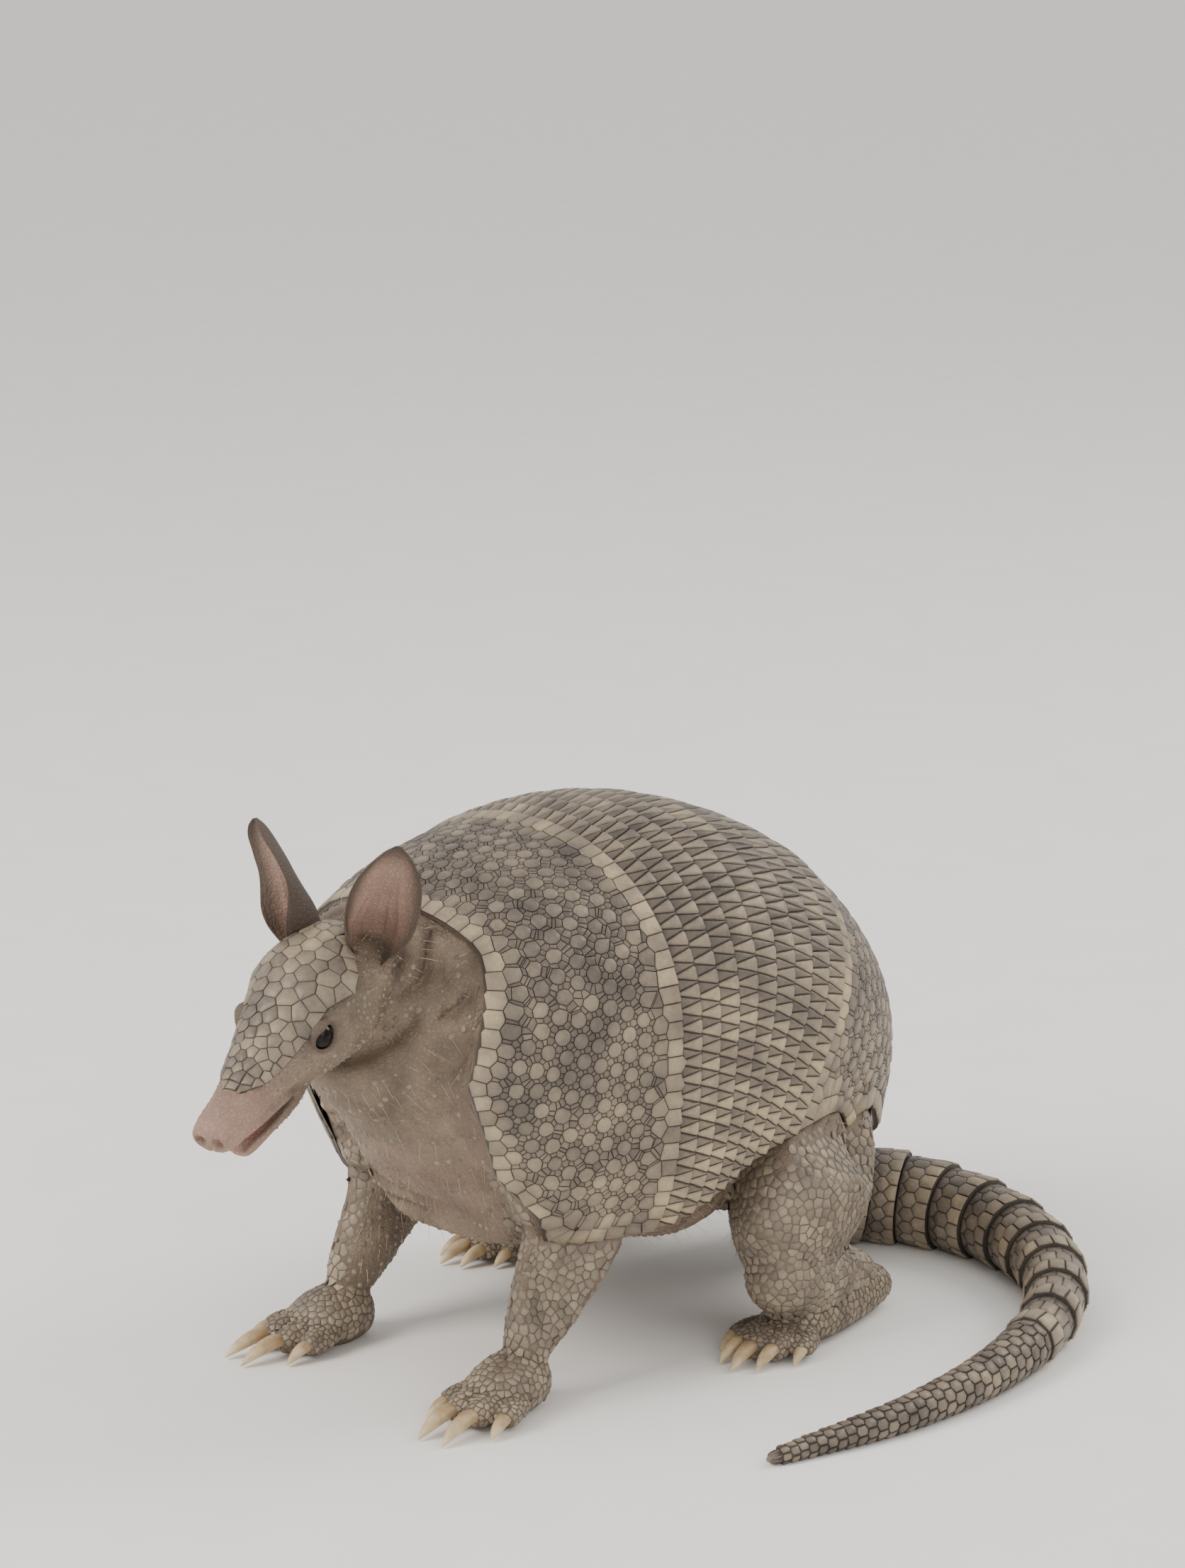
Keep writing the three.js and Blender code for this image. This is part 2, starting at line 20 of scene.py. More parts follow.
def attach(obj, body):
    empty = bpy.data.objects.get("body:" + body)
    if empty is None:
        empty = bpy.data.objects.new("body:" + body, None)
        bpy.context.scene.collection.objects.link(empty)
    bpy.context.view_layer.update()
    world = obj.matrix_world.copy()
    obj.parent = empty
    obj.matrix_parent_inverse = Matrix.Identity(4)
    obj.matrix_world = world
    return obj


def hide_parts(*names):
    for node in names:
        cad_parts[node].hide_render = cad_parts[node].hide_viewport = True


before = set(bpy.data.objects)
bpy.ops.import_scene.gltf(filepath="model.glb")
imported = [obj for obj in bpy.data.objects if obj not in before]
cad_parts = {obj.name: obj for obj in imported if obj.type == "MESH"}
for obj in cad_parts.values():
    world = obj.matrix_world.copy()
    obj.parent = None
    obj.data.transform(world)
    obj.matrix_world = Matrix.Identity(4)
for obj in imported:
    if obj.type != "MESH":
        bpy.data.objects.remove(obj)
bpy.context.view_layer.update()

LOG = logging.getLogger("armadillo")
MM = 0.001
DEGREE = math.pi / 180
ORIGIN = np.array([-35.8444, 25.2692, 0.0])  # mm, from the body's own axes to the floor origin
SIDES = {"left": 1, "right": -1}
Array = np.ndarray
Piece = bpy.types.Object
Move = Callable[[Array], Array]
Field = Callable[[Array, Array], Array]


# ------------------------------------------------------------------ forms


class Profile:
    """A smooth curve through (place, value) knots, flat beyond its ends."""

    def __init__(self, *knots: tuple[float, float]) -> None:
        """Keeps the knots and the slope at each.

        Args:
            knots: Places in rising order, each with its value.
        """
        self.x, self.y = np.array(knots, float).T
        index = np.arange(len(knots))
        low, high = np.maximum(index - 1, 0), np.minimum(index + 1, len(knots) - 1)
        self.slope = (self.y[high] - self.y[low]) / (self.x[high] - self.x[low])

    def __call__(self, at: Array | float) -> Array:
        """The curve's value.

        Args:
            at: One place or many.

        Returns:
            The value at each place.
        """
        at = np.clip(np.asarray(at, float), self.x[0], self.x[-1])
        i = np.clip(np.searchsorted(self.x, at, side="right") - 1, 0, len(self.x) - 2)
        span = self.x[i + 1] - self.x[i]
        t = (at - self.x[i]) / span
        held = (1 + 2 * t) * (1 - t) ** 2 * self.y[i] + t * (1 - t) ** 2 * span * self.slope[i]
        return held + t * t * (3 - 2 * t) * self.y[i + 1] + t * t * (t - 1) * span * self.slope[i + 1]


def step(value: Array | float, low: float, high: float) -> Array:
    """A smooth rise from 0 where a value is low to 1 where it is high."""
    t = np.clip((np.asarray(value, float) - low) / (high - low), 0, 1)
    return t * t * (3 - 2 * t)


def power(value: Array, exponent: Array | float) -> Array:
    """A power that keeps its base's sign."""
    return np.sign(value) * np.abs(value) ** exponent


def unit(vectors: Array) -> Array:
    """Rows of vectors, made one long."""
    return vectors / np.maximum(np.linalg.norm(vectors, axis=-1, keepdims=True), 1e-12)


class Form:
    """A surface given by a place across, a place along and a height over it, in mm."""

    def at(self, u: Array, v: Array, out: Array | float = 0.0) -> Array:
        """The point at (u, v), out above the surface."""
        raise NotImplementedError

    def stand(self, u: Array, v: Array, out: Array | float = 0.0) -> tuple[Array, Array, Array]:
        """Where pieces stand on the surface.

        Args:
            u: Places across.
            v: Places along.
            out: Height over the surface, in mm.

        Returns:
            The points, the outward normals and the directions of rising v.
        """
        e = 6e-3
        p = self.at(u, v, out)
        du = self.at(u + e, v, out) - self.at(u - e, v, out)
        dv = self.at(u, v + e, out) - self.at(u, v - e, out)
        n = unit(np.cross(du, dv))
        n *= np.sign(np.sum(n * (self.at(u, v, np.asarray(out) + 1.0) - p), axis=-1, keepdims=True))
        return p, n, unit(dv - n * np.sum(n * dv, axis=-1, keepdims=True))


@dataclass
class TrunkForm(Form):
    """The body from chest to rump: stations along an arched middle line, angles from the back."""

    spine_y: Profile = Profile(
        (-0.3, -128), (-0.24, -120), (0, -92), (0.25, -44), (0.5, 7), (0.75, 54), (1, 85),
        (1.1, 93), (1.15, 96.5),
    )
    spine_z: Profile = Profile(
        (-0.3, 112), (-0.24, 114), (0, 123), (0.25, 127), (0.5, 122), (0.75, 98), (1, 58),
        (1.1, 40), (1.15, 31),
    )
    wide: Profile = Profile(
        (-0.24, 12), (-0.21, 26), (-0.12, 44), (0, 59), (0.28, 73), (0.5, 76), (0.72, 71), (1, 46), (1.1, 25)
    )
    high: Profile = Profile(
        (-0.24, 4), (-0.2, 10), (-0.1, 27), (0, 50), (0.28, 64), (0.5, 68), (0.72, 62), (1, 38), (1.1, 20)
    )
    deep: Profile = Profile(
        (-0.24, 10), (-0.21, 36), (-0.12, 60), (0, 74), (0.28, 85), (0.5, 87), (0.72, 81), (1, 48), (1.1, 22)
    )
    upper_squareness: float = 2.25
    lower_squareness: float = 3.2
    tuck: float = 0.0

    def at(self, u: Array, v: Array, out: Array | float = 0.0) -> Array:
        """The point at an angle u from the middle of the back, at station v.

        Args:
            u: Turns from the back, in radians, positive to the left.
            v: Stations from shoulder, 0, to rump, 1.
            out: Height over the surface, in mm.

        Returns:
            The points, as rows in mm.
        """
        u, v = np.broadcast_arrays(np.asarray(u, float), np.asarray(v, float))
        exponent = 2 / np.where(np.cos(u) > 0, self.upper_squareness, self.lower_squareness)
        side, rise = power(np.sin(u), exponent), power(np.cos(u), exponent)
        wide = self.wide(v) * (1 - self.tuck * step(np.abs(u), 1.3, 2.2)) + out
        high = np.where(rise > 0, self.high(v), self.deep(v)) + out
        e = 1e-3
        run = self.spine_y(v + e) - self.spine_y(v - e)
        climb = self.spine_z(v + e) - self.spine_z(v - e)
        length = np.hypot(run, climb)
        y, z = self.spine_y(v) - rise * high * climb / length, self.spine_z(v) + rise * high * run / length
        return np.stack([side * wide, y, z], axis=-1) + ORIGIN


def head_matrix() -> Matrix:
    """The head's own frame: X along the snout, Y to its left, Z up, in mm.

    Returns:
        The matrix, in mm.
    """
    base = Matrix.Translation((3, -124, 164)) @ Matrix.Rotation(17 * DEGREE, 4, "Z")
    axes = Matrix(((0, 1, 0, 0), (-1, 0, 0, 0), (0, 0, 1, 0), (0, 0, 0, 1)))
    return base @ axes @ Matrix.Rotation(26 * DEGREE, 4, "Y") @ Matrix.Rotation(-4 * DEGREE, 4, "X")


HEAD = np.array(head_matrix())
HEAD_UP = HEAD[:3, 2]


def in_head(points: Array | Sequence[float]) -> Array:
    """Points of the head's own frame, in the model's, in mm."""
    return np.asarray(points, float) @ HEAD[:3, :3].T + HEAD[:3, 3] + ORIGIN


def to_head(points: Array) -> Array:
    """Points of the model's frame, in the head's own, in mm."""
    return (points - ORIGIN - HEAD[:3, 3]) @ HEAD[:3, :3]


@dataclass
class HeadForm(Form):
    """The head from the back of the skull to the nose, without the lower jaw."""

    length: float = 100.0
    wide: Profile = Profile(
        (0, 17), (0.1, 20.5), (0.27, 22.5), (0.4, 20.5), (0.52, 16.2), (0.66, 12), (0.82, 9),
        (0.93, 8.4), (1, 7.4),
    )
    high: Profile = Profile(
        (0, 13), (0.12, 18.5), (0.3, 19.5), (0.44, 16.5), (0.56, 12.8), (0.7, 9.6), (0.85, 7.8),
        (0.95, 7.4), (1, 6.2),
    )
    deep: Profile = Profile(
        (0, 17), (0.12, 20), (0.3, 19.5), (0.45, 16.5), (0.56, 12.5), (0.64, 7.6), (0.8, 5.8),
        (0.93, 6.2), (1, 5.4),
    )

    def at(self, u: Array, v: Array, out: Array | float = 0.0) -> Array:
        """The point at an angle u from the top, at v of the head's length.

        Args:
            u: Turns from the top, in radians.
            v: Places from the nape, 0, to the nose, 1.
            out: Height over the surface, in mm.

        Returns:
            The points, as rows in mm.
        """
        u, v = np.broadcast_arrays(np.asarray(u, float), np.asarray(v, float))
        side, rise = power(np.sin(u), 0.92), power(np.cos(u), 0.92)
        blunt = np.clip((v - 0.93) / 0.07, 0, 1) ** 4
        nose = np.sqrt(np.maximum(0, 1 - blunt)) * 0.35 + 0.65
        high = np.where(rise > 0, self.high(v), self.deep(v)) * nose + out
        wide = self.wide(v) * nose + out
        return in_head(np.stack([v * self.length, side * wide, rise * high], axis=-1))


class Path:
    """A centripetal Catmull-Rom line through points."""

    def __init__(self, points: Iterable[Sequence[float]]) -> None:
        """Keeps the points, with one more beyond each end."""
        p = np.array(list(points), float)
        self.points = np.vstack([2 * p[0] - p[1], p, 2 * p[-1] - p[-2]])

    def at(self, t: Array | float) -> Array:
        """The line's point at each t from 0 to 1.

        Args:
            t: One part of the way or many.

        Returns:
            The points, as rows in mm.
        """
        t = np.atleast_1d(np.clip(np.asarray(t, float), 0, 1))
        spans = len(self.points) - 3
        i = np.minimum((t * spans).astype(int), spans - 1)
        w = (t * spans - i)[:, None]
        p = [self.points[i + k] for k in range(4)]
        gaps = (np.linalg.norm(b - a, axis=1, keepdims=True) for a, b in zip(p, p[1:]))
        d0, d1, d2 = (np.maximum(gap**0.5, 1e-4) for gap in gaps)
        m1 = ((p[1] - p[0]) / d0 - (p[2] - p[0]) / (d0 + d1) + (p[2] - p[1]) / d1) * d1
        m2 = ((p[2] - p[1]) / d1 - (p[3] - p[1]) / (d1 + d2) + (p[3] - p[2]) / d2) * d1
        bend, ease = -3 * p[1] + 3 * p[2] - 2 * m1 - m2, 2 * p[1] - 2 * p[2] + m1 + m2
        return p[1] + m1 * w + bend * w**2 + ease * w**3

    def heading(self, t: Array | float) -> Array:
        """The line's direction at each t."""
        return unit(self.at(np.asarray(t) + 1e-4) - self.at(np.asarray(t) - 1e-4))


@dataclass
class TailForm(Form):
    """The tail, from its root in the rump round the left side to its tip, lying on the floor."""

    route: Path = Path(
        [
            (0, 84, 0), (3, 112, 0), (24, 137, 0), (62, 146, 0), (102, 132, 0),
            (134, 98, 0), (152, 50, 0), (156, -6, 0), (146, -66, 0),
        ]
    )
    radius: Profile = Profile((0, 21.5), (0.15, 19.5), (0.4, 14.6), (0.7, 9), (0.9, 5.2), (1, 2.6))
    base_height: float = 27.0
    landing: float = 0.13
    bite: float = 0.965

    def centre(self, t: Array) -> Array:
        """The middle line's point at each t from 0 to 1.

        Args:
            t: Places along, from 0 to 1.

        Returns:
            Points from the body's own axes.
        """
        t = np.clip(t, 0, 1)
        p = self.route.at(t)
        lift = self.base_height * np.maximum(0, 1 - t / self.landing / 2) ** 3
        p[:, 2] = self.radius(t) * self.bite + lift
        return p

    def at(self, u: Array, v: Array, out: Array | float = 0.0) -> Array:
        """The point at an angle u from the top, at v of the tail's length.

        Args:
            u: Turns from the top, in radians.
            v: Places along, from 0 to 1.
            out: Height over the surface, in mm.

        Returns:
            The points, as rows in mm.
        """
        u, v, out = (a.ravel() for a in np.broadcast_arrays(*(np.asarray(a, float) for a in (u, v, out))))
        ahead = unit(self.centre(v + 1e-3) - self.centre(v - 1e-3))
        up = unit(np.array([0.0, 0.0, 1.0]) - ahead * ahead[:, 2:3])
        side = np.cross(up, ahead)
        r = (self.radius(v) + out)[:, None]
        return self.centre(v) + side * np.sin(u)[:, None] * r + up * np.cos(u)[:, None] * r + ORIGIN


@dataclass
class Limb:
    """A round-ended length of flesh or horn along a route, as in a leg, a toe or a claw."""

    route: Sequence[Sequence[float]]
    wide: Profile
    deep: Profile
    up: Sequence[float]
    blunt: float = 0.4

    def place(self, ball: Array) -> Array:
        """Moves the points of a unit ball, whose pole is Y, on to the limb, in mm.

        Args:
            ball: Points of a unit ball whose pole is Y, as rows.

        Returns:
            The points, as rows in mm.
        """
        path = Path(self.route)
        x, y, z = ball.T
        t = (1 - y) / 2
        ahead = path.heading(t)
        up = np.array(self.up, float)
        up = unit(up - ahead * (ahead @ up)[:, None])
        side = np.cross(up, ahead)
        ring = np.hypot(x, z)
        reach = np.where(ring < 1e-6, 0, np.maximum(ring, 1e-6) ** (self.blunt - 1))
        across, above = x * reach * self.wide(t), z * reach * self.deep(t)
        return path.at(t) + across[:, None] * side + above[:, None] * up + ORIGIN


TRUNK = TrunkForm()
FLESH_TRUNK = TrunkForm(tuck=0.17)
SKULL = HeadForm()
TAIL = TailForm()


# ------------------------------------------------------------------ meshes


def pick(*pieces: Piece) -> None:
    """Selects only the given pieces, because an operator acts on all selected, and activates the last."""
    if bpy.context.object and bpy.context.object.mode != "OBJECT":
        bpy.ops.object.mode_set(mode="OBJECT")
    bpy.ops.object.select_all(action="DESELECT")
    for piece in pieces:
        piece.select_set(True)
        bpy.context.view_layer.objects.active = piece


def coordinates(piece: Piece) -> Array:
    """A piece's vertices as rows, in metres.

    Args:
        piece: The piece.

    Returns:
        The places.
    """
    flat = np.empty(len(piece.data.vertices) * 3)
    piece.data.vertices.foreach_get("co", flat)
    return flat.reshape(-1, 3)


def normals(piece: Piece) -> Array:
    """A piece's vertex normals, as rows.

    Args:
        piece: The piece.

    Returns:
        The normals.
    """
    flat = np.empty(len(piece.data.vertices) * 3)
    piece.data.vertex_normals.foreach_get("vector", flat)
    return flat.reshape(-1, 3)


def move_vertices(piece: Piece, places: Array) -> None:
    """Sets a piece's vertices to rows of places, in metres."""
    piece.data.vertices.foreach_set("co", places.ravel())
    piece.data.update()


def apply_modifier(piece: Piece, kind: str, **settings: object) -> None:
    """Adds a modifier and applies it.

    Args:
        piece: The piece to change.
        kind: The modifier's type.
        settings: The modifier's properties.
    """
    modifier = piece.modifiers.new(kind.title(), kind)
    for name, value in settings.items():
        setattr(modifier, name, value)
    pick(piece)
    bpy.ops.object.modifier_apply(modifier=modifier.name)


def combine(piece: Piece, other: Piece, operation: str) -> None:
    """Joins another closed shape to a piece or cuts it out."""
    apply_modifier(piece, "BOOLEAN", operation=operation, object=other, solver="MANIFOLD")


def face_outwards(piece: Piece) -> None:
    """Turns a closed piece's faces so that they point outwards.

    Args:
        piece: The piece.
    """
    work = bmesh.new()
    work.from_mesh(piece.data)
    bmesh.ops.recalc_face_normals(work, faces=work.faces)
    if work.calc_volume(signed=True) < 0:
        bmesh.ops.reverse_faces(work, faces=work.faces)
    work.to_mesh(piece.data)
    work.free()


def smooth_shade(piece: Piece, angle: float = 180.0) -> None:
    """Shades a piece smooth where its faces meet at less than an angle in degrees.

    Args:
        piece: The piece.
        angle: The angle, in degrees; 180 smooths every edge.
    """
    pick(piece)
    if angle >= 180:
        bpy.ops.object.shade_smooth()
    else:
        bpy.ops.object.shade_smooth_by_angle(angle=angle * DEGREE)


def write_attribute(piece: Piece, name: str, values: Array) -> None:
    """Writes one number per vertex that the finishes read."""
    layer = piece.data.attributes.get(name) or piece.data.attributes.new(name, "FLOAT", "POINT")
    layer.data.foreach_set("value", np.asarray(values, np.float32))


def write_map(piece: Piece, places: Array) -> None:
    """Writes the bake map from one place per vertex, as rows from 0 to 1.

    Args:
        piece: The piece.
        places: One place for each vertex.
    """
    layer = piece.data.uv_layers.get("OFBake") or piece.data.uv_layers.new(name="OFBake")
    corners = np.empty(len(piece.data.loops), np.int32)
    piece.data.loops.foreach_get("vertex_index", corners)
    layer.data.foreach_set("uv", np.asarray(places, np.float32)[corners].ravel())


def named(piece: Piece, name: str) -> Piece:
    """The piece, given a name."""
    piece.name = piece.data.name = name
    return piece


def joined(name: str, pieces: Sequence[Piece]) -> Piece:
    """Joins pieces into one object.

    Args:
        name: The joined piece's name.
        pieces: The pieces, of which the first is kept.

    Returns:
        The joined piece.
    """
    if len(pieces) > 1:
        pick(*reversed(pieces))
        bpy.ops.object.join()
    return named(pieces[0], name)


def placed(name: str, data: bpy.types.ID) -> Piece:
    """Makes an object of a mesh, a light or a camera and puts it in the scene.

    Args:
        name: The object's name.
        data: What it shows.

    Returns:
        The object.
    """
    piece = bpy.data.objects.new(name, data)
    bpy.context.scene.collection.objects.link(piece)
    return piece


def from_faces(name: str, points: Array, faces: Sequence[tuple[int, ...]]) -> Piece:
    """Makes a piece of its points and faces.

    Args:
        name: The piece's name.
        points: Its vertices, as rows in mm.
        faces: Each face's vertices.

    Returns:
        The piece.
    """
    mesh = bpy.data.meshes.new(name)
    mesh.from_pydata((points * MM).tolist(), [], faces)
    return placed(name, mesh)


def weigh(piece: Piece, name: str, weights: Array) -> None:
    """Gives a piece's vertices their weights in a new group, where they are above 0.

    Args:
        piece: The piece.
        name: The group's name.
        weights: One weight per vertex, of a few different values.
    """
    group = piece.vertex_groups.new(name=name)
    for value in np.unique(weights[weights > 0]):
        group.add(np.nonzero(weights == value)[0].tolist(), float(value), "REPLACE")


def moulded_plate(name: str, across: int, along: int, place: Callable[[Array, Array, Array], Array]) -> Piece:
    """A curved plate: a grid given a thickness in edit mode and bent on to its form.

    Args:
        name: The piece's name.
        across: Cells across.
        along: Cells along.
        place: Gives points in mm for places across and along from -1 to 1, and 0 below to 1 on top.

    Returns:
        The closed plate.
    """
    pick()
    bpy.ops.mesh.primitive_grid_add(x_subdivisions=across, y_subdivisions=along, size=2)
    piece = bpy.context.object
    bpy.ops.object.mode_set(mode="EDIT")
    bpy.ops.mesh.select_all(action="SELECT")
    bpy.ops.mesh.extrude_region_move(TRANSFORM_OT_translate={"value": (0, 0, 1)})
    bpy.ops.object.mode_set(mode="OBJECT")
    x, y, z = coordinates(piece).T
    move_vertices(piece, place(x, y, z) * MM)
    face_outwards(piece)
    piece.data.uv_layers.remove(piece.data.uv_layers[0])
    return named(piece, name)


def moulded_ball(name: str, around: int, along: int, place: Move) -> Piece:
    """A ball of rings whose points are moved on to a form.

    Args:
        name: The piece's name.
        around: Points round each ring.
        along: Rings from end to end.
        place: Gives points in mm for points of a unit ball whose pole is Y.

    Returns:
        The closed piece.
    """
    pick()
    bpy.ops.mesh.primitive_uv_sphere_add(segments=around, ring_count=along, radius=1)
    piece = bpy.context.object
    x, y, z = coordinates(piece).T
    move_vertices(piece, place(np.stack([x, -z, y], axis=-1)) * MM)
    face_outwards(piece)
    return named(piece, name)


# ------------------------------------------------------------------ scutes


@dataclass(frozen=True)
class ScuteCut:
    """How one kind of scute is stepped from its groove to its crown, in mm."""

    groove: float = 0.2
    sink: float = 0.4
    edge: float = 0.1
    bevel: float = 0.4
    shoulder: float = 0.36
    crown: float = 0.48
    slant: float = 0.0
    keel: float = 0.0


Polygon = list[tuple[float, float]]
MAP_RINGS = (1.0, 0.95, 0.8)  # how far out each ring of a scute lies in its patch of the bake map


def clipped(outline: Polygon, nx: float, ny: float, limit: float) -> Polygon:
    """The part of a convex outline on the near side of a line.

    Args:
        outline: The outline's corners.
        nx: The line's normal, across.
        ny: The line's normal, along.
        limit: The line's distance from the origin.

    Returns:
        The corners of what is left.
    """
    kept: Polygon = []
    ax, ay = outline[-1]
    da = nx * ax + ny * ay - limit
    for bx, by in outline:
        db = nx * bx + ny * by - limit
        if (da <= 0) != (db <= 0):
            t = da / (da - db)
            kept.append((ax + (bx - ax) * t, ay + (by - ay) * t))
        if db <= 0:
            kept.append((bx, by))
        ax, ay, da = bx, by, db
    return kept


@dataclass
class Mosaic:
    """Scutes gathered into one mesh, each a small closed, stepped dome."""

    points: list[Array] = field(default_factory=list)
    faces: list[tuple[int, ...]] = field(default_factory=list)
    tone: list[Array] = field(default_factory=list)
    relief: list[Array] = field(default_factory=list)
    places: list[Array] = field(default_factory=list)
    count: int = 0

    def add(
        self, outline: Array, normal: Array, ahead: Array, cut: ScuteCut, tone: float, patch: Array
    ) -> None:
        """Adds one scute.

        Args:
            outline: Its corners on the surface, anticlockwise seen from outside, in mm.
            normal: The surface's normal at its middle.
            ahead: The direction towards its rear edge.
            cut: How it is stepped.
            tone: Its shade from dark, 0, to pale, 1.
            patch: Its corners' places on the bake map.
        """
        k = len(outline)
        middle = outline.mean(axis=0)
        spread = outline - middle
        size = np.maximum(np.linalg.norm(spread, axis=1, keepdims=True), 1e-6)
        tip = (spread @ ahead)[:, None] / size.max()
        side = np.abs(spread @ np.cross(ahead, normal))[:, None] / size.max()
        rings = [outline - normal * cut.sink]
        for inset, height in ((0.0, cut.edge), (cut.bevel, cut.shoulder)):
            shrink = np.maximum(1 - inset / size, 0.35)
            lift = height + cut.slant * tip + cut.keel * (0.5 - side) * (inset > 0)
            rings.append(middle + spread * shrink + normal * lift)
        rings.append((middle + normal * (cut.crown + cut.keel * 0.6))[None])
        self.points.append(np.vstack(rings))
        base = self.count
        self.faces.append(tuple(range(base + k - 1, base - 1, -1)))
        for i in range(k):
            j = (i + 1) % k
            for a in (base, base + k):
                self.faces.append((a + i, a + j, a + k + j, a + k + i))
            self.faces.append((base + 2 * k + i, base + 2 * k + j, base + 3 * k))
        self.tone.append(np.full(3 * k + 1, tone))
        # relief runs from the groove, 0, to the crown, 1: the horn finish paints its low end dark with soil
        # and painted shade, and its top paler with wear and a painted highlight
        self.relief.append(np.concatenate([np.zeros(k), np.full(k, 0.45), np.full(k, 0.85), [1.0]]))
        heart = patch.mean(axis=0)
        self.places += [heart + (patch - heart) * r for r in MAP_RINGS] + [heart[None]]
        self.count += 3 * k + 1

    def piece(self, name: str) -> Piece:
        """Makes the mesh.

        Args:
            name: The piece's name.

        Returns:
            The scutes as one object, with tones, relief and bake map.
        """
        points = np.vstack(self.points)
        points[:, 2] = np.maximum(points[:, 2], 0)
        piece = from_faces(name, points, self.faces)
        write_attribute(piece, "tone", np.concatenate(self.tone))
        write_attribute(piece, "relief", np.concatenate(self.relief))
        write_map(piece, np.vstack(self.places))
        smooth_shade(piece, 44)
        return piece


@dataclass
class Seeds:
    """Where scutes stand on a form, and what each is like."""

    form: Form
    u: list[float] = field(default_factory=list)
    v: list[float] = field(default_factory=list)
    weight: list[float] = field(default_factory=list)
    cut: list[ScuteCut | None] = field(default_factory=list)
    tone: list[float] = field(default_factory=list)
    reach: list[float] = field(default_factory=list)

    def add(self, u: float, v: float, weight: float, cut: ScuteCut | None, tone: float, reach: float) -> None:
        """Adds a seed. One with no cut only bounds its neighbours.

        Args:
            u: Its place across.
            v: Its place along.
            weight: The radius that it claims, in mm.
            cut: How its scute is stepped.
            tone: Its shade.
            reach: How far its scute may stretch, in mm.
        """
        self.u.append(u)
        self.v.append(v)
        self.weight.append(weight)
        self.cut.append(cut)
        self.tone.append(tone)
        self.reach.append(reach)

    def mirror_beyond(self, u_edge: float | None, span: float) -> None:
        """Adds bounds beyond the edges, so that the outer scutes end on them.

        Args:
            u_edge: The side edges' u, or None on a form that closes round.
            span: How near to an edge a seed is mirrored, in mm.
        """
        u, v, weight, e = np.array(self.u), np.array(self.v), list(self.weight), 1e-3
        point = self.form.at(u, v)
        edges = [(u, np.zeros_like(v), e, 0), (u, np.ones_like(v), e, 0)]
        if u_edge is not None:
            edges.append((np.copysign(u_edge, u), v, 0, e))
        for a, b, du, dv in edges:
            run = self.form.at(a + du, b + dv) - self.form.at(a - du, b - dv)
            offset = self.form.at(a, b) - point
            slip = np.sum(offset * run, axis=1) / np.sum(run * run, axis=1)
            for i in np.nonzero(np.linalg.norm(offset - run * slip[:, None], axis=1) < span)[0]:
                spot = (2 * a[i] - u[i] - 4 * du * slip[i], 2 * b[i] - v[i] - 4 * dv * slip[i])
                self.add(*spot, weight[i], None, 0.0, 0.0)

    def cut_into(self, mosaic: Mosaic, to_map: Field) -> Mosaic:
        """Cuts the form into scutes.

        Args:
            mosaic: What the scutes are added to.
            to_map: Gives places on the bake map for places on the form.

        Returns:
            The same mosaic.
        """
        u, v = np.array(self.u), np.array(self.v)
        point, normal, ahead = self.form.stand(u, v)
        e = 1e-3
        per_u = np.linalg.norm(self.form.at(u + e, v) - self.form.at(u - e, v), axis=1) / (2 * e)
        per_v = np.linalg.norm(self.form.at(u, v + e) - self.form.at(u, v - e), axis=1) / (2 * e)
        hand = np.sign(np.sum(np.cross(ahead, normal) * (self.form.at(u + e, v) - point), axis=1))

        def patch(i: int, corners: Array) -> Array:
            """A scute's corners' places on the bake map."""
            return to_map(u[i] + corners[:, 0] * hand[i] / per_u[i], v[i] + corners[:, 1] / per_v[i])

        cut_cells(mosaic, point, normal, ahead, np.array(self.weight), self.reach, self.cut, self.tone, patch)
        return mosaic


def tree_of(points: Array) -> KDTree:
    """Sorts points so that those near a place are found quickly.

    Args:
        points: Rows of points, in mm.

    Returns:
        The sorted points, each under its index.
    """
    tree = KDTree(len(points))
    for i, point in enumerate(points.tolist()):
        tree.insert(point, i)
    tree.balance()
    return tree


def thin_out(points: Array, gap: Array) -> list[int]:
    """Which points stand far enough from the ones kept before them.

    Args:
        points: Rows of points, in mm, in the order in which they are tried.
        gap: How near to its neighbours each may stand.

    Returns:
        The kept ones' indexes.
    """
    cells: dict[tuple[int, ...], list[int]] = {}
    cell, kept = float(gap.max()), []
    steps = [(x, y, z) for x in (-1, 0, 1) for y in (-1, 0, 1) for z in (-1, 0, 1)]
    for i, (hx, hy, hz) in enumerate((points // cell).astype(int).tolist()):
        near = [j for x, y, z in steps for j in cells.get((hx + x, hy + y, hz + z), ())]
        if not near or np.sum((points[near] - points[i]) ** 2, axis=1).min() > gap[i] ** 2:
            cells.setdefault((hx, hy, hz), []).append(i)
            kept.append(i)
    return kept


def shove(points: Array, gap: Array, strength: float) -> Array:
    """How points that crowd each other are pushed apart.

    Args:
        points: Rows of points, in mm.
        gap: How far each wants to be from the others.
        strength: Which part of what is missing each is pushed by.

    Returns:
        The push on each point.
    """
    tree, push = tree_of(points), np.zeros_like(points)
    for i in range(len(points)):
        for q, j, far in tree.find_range(points[i], gap[i]):
            if j != i and far > 1e-6:
                push[i] += (points[i] - np.array(q)) * (strength * (gap[i] - far) / far)
    return push


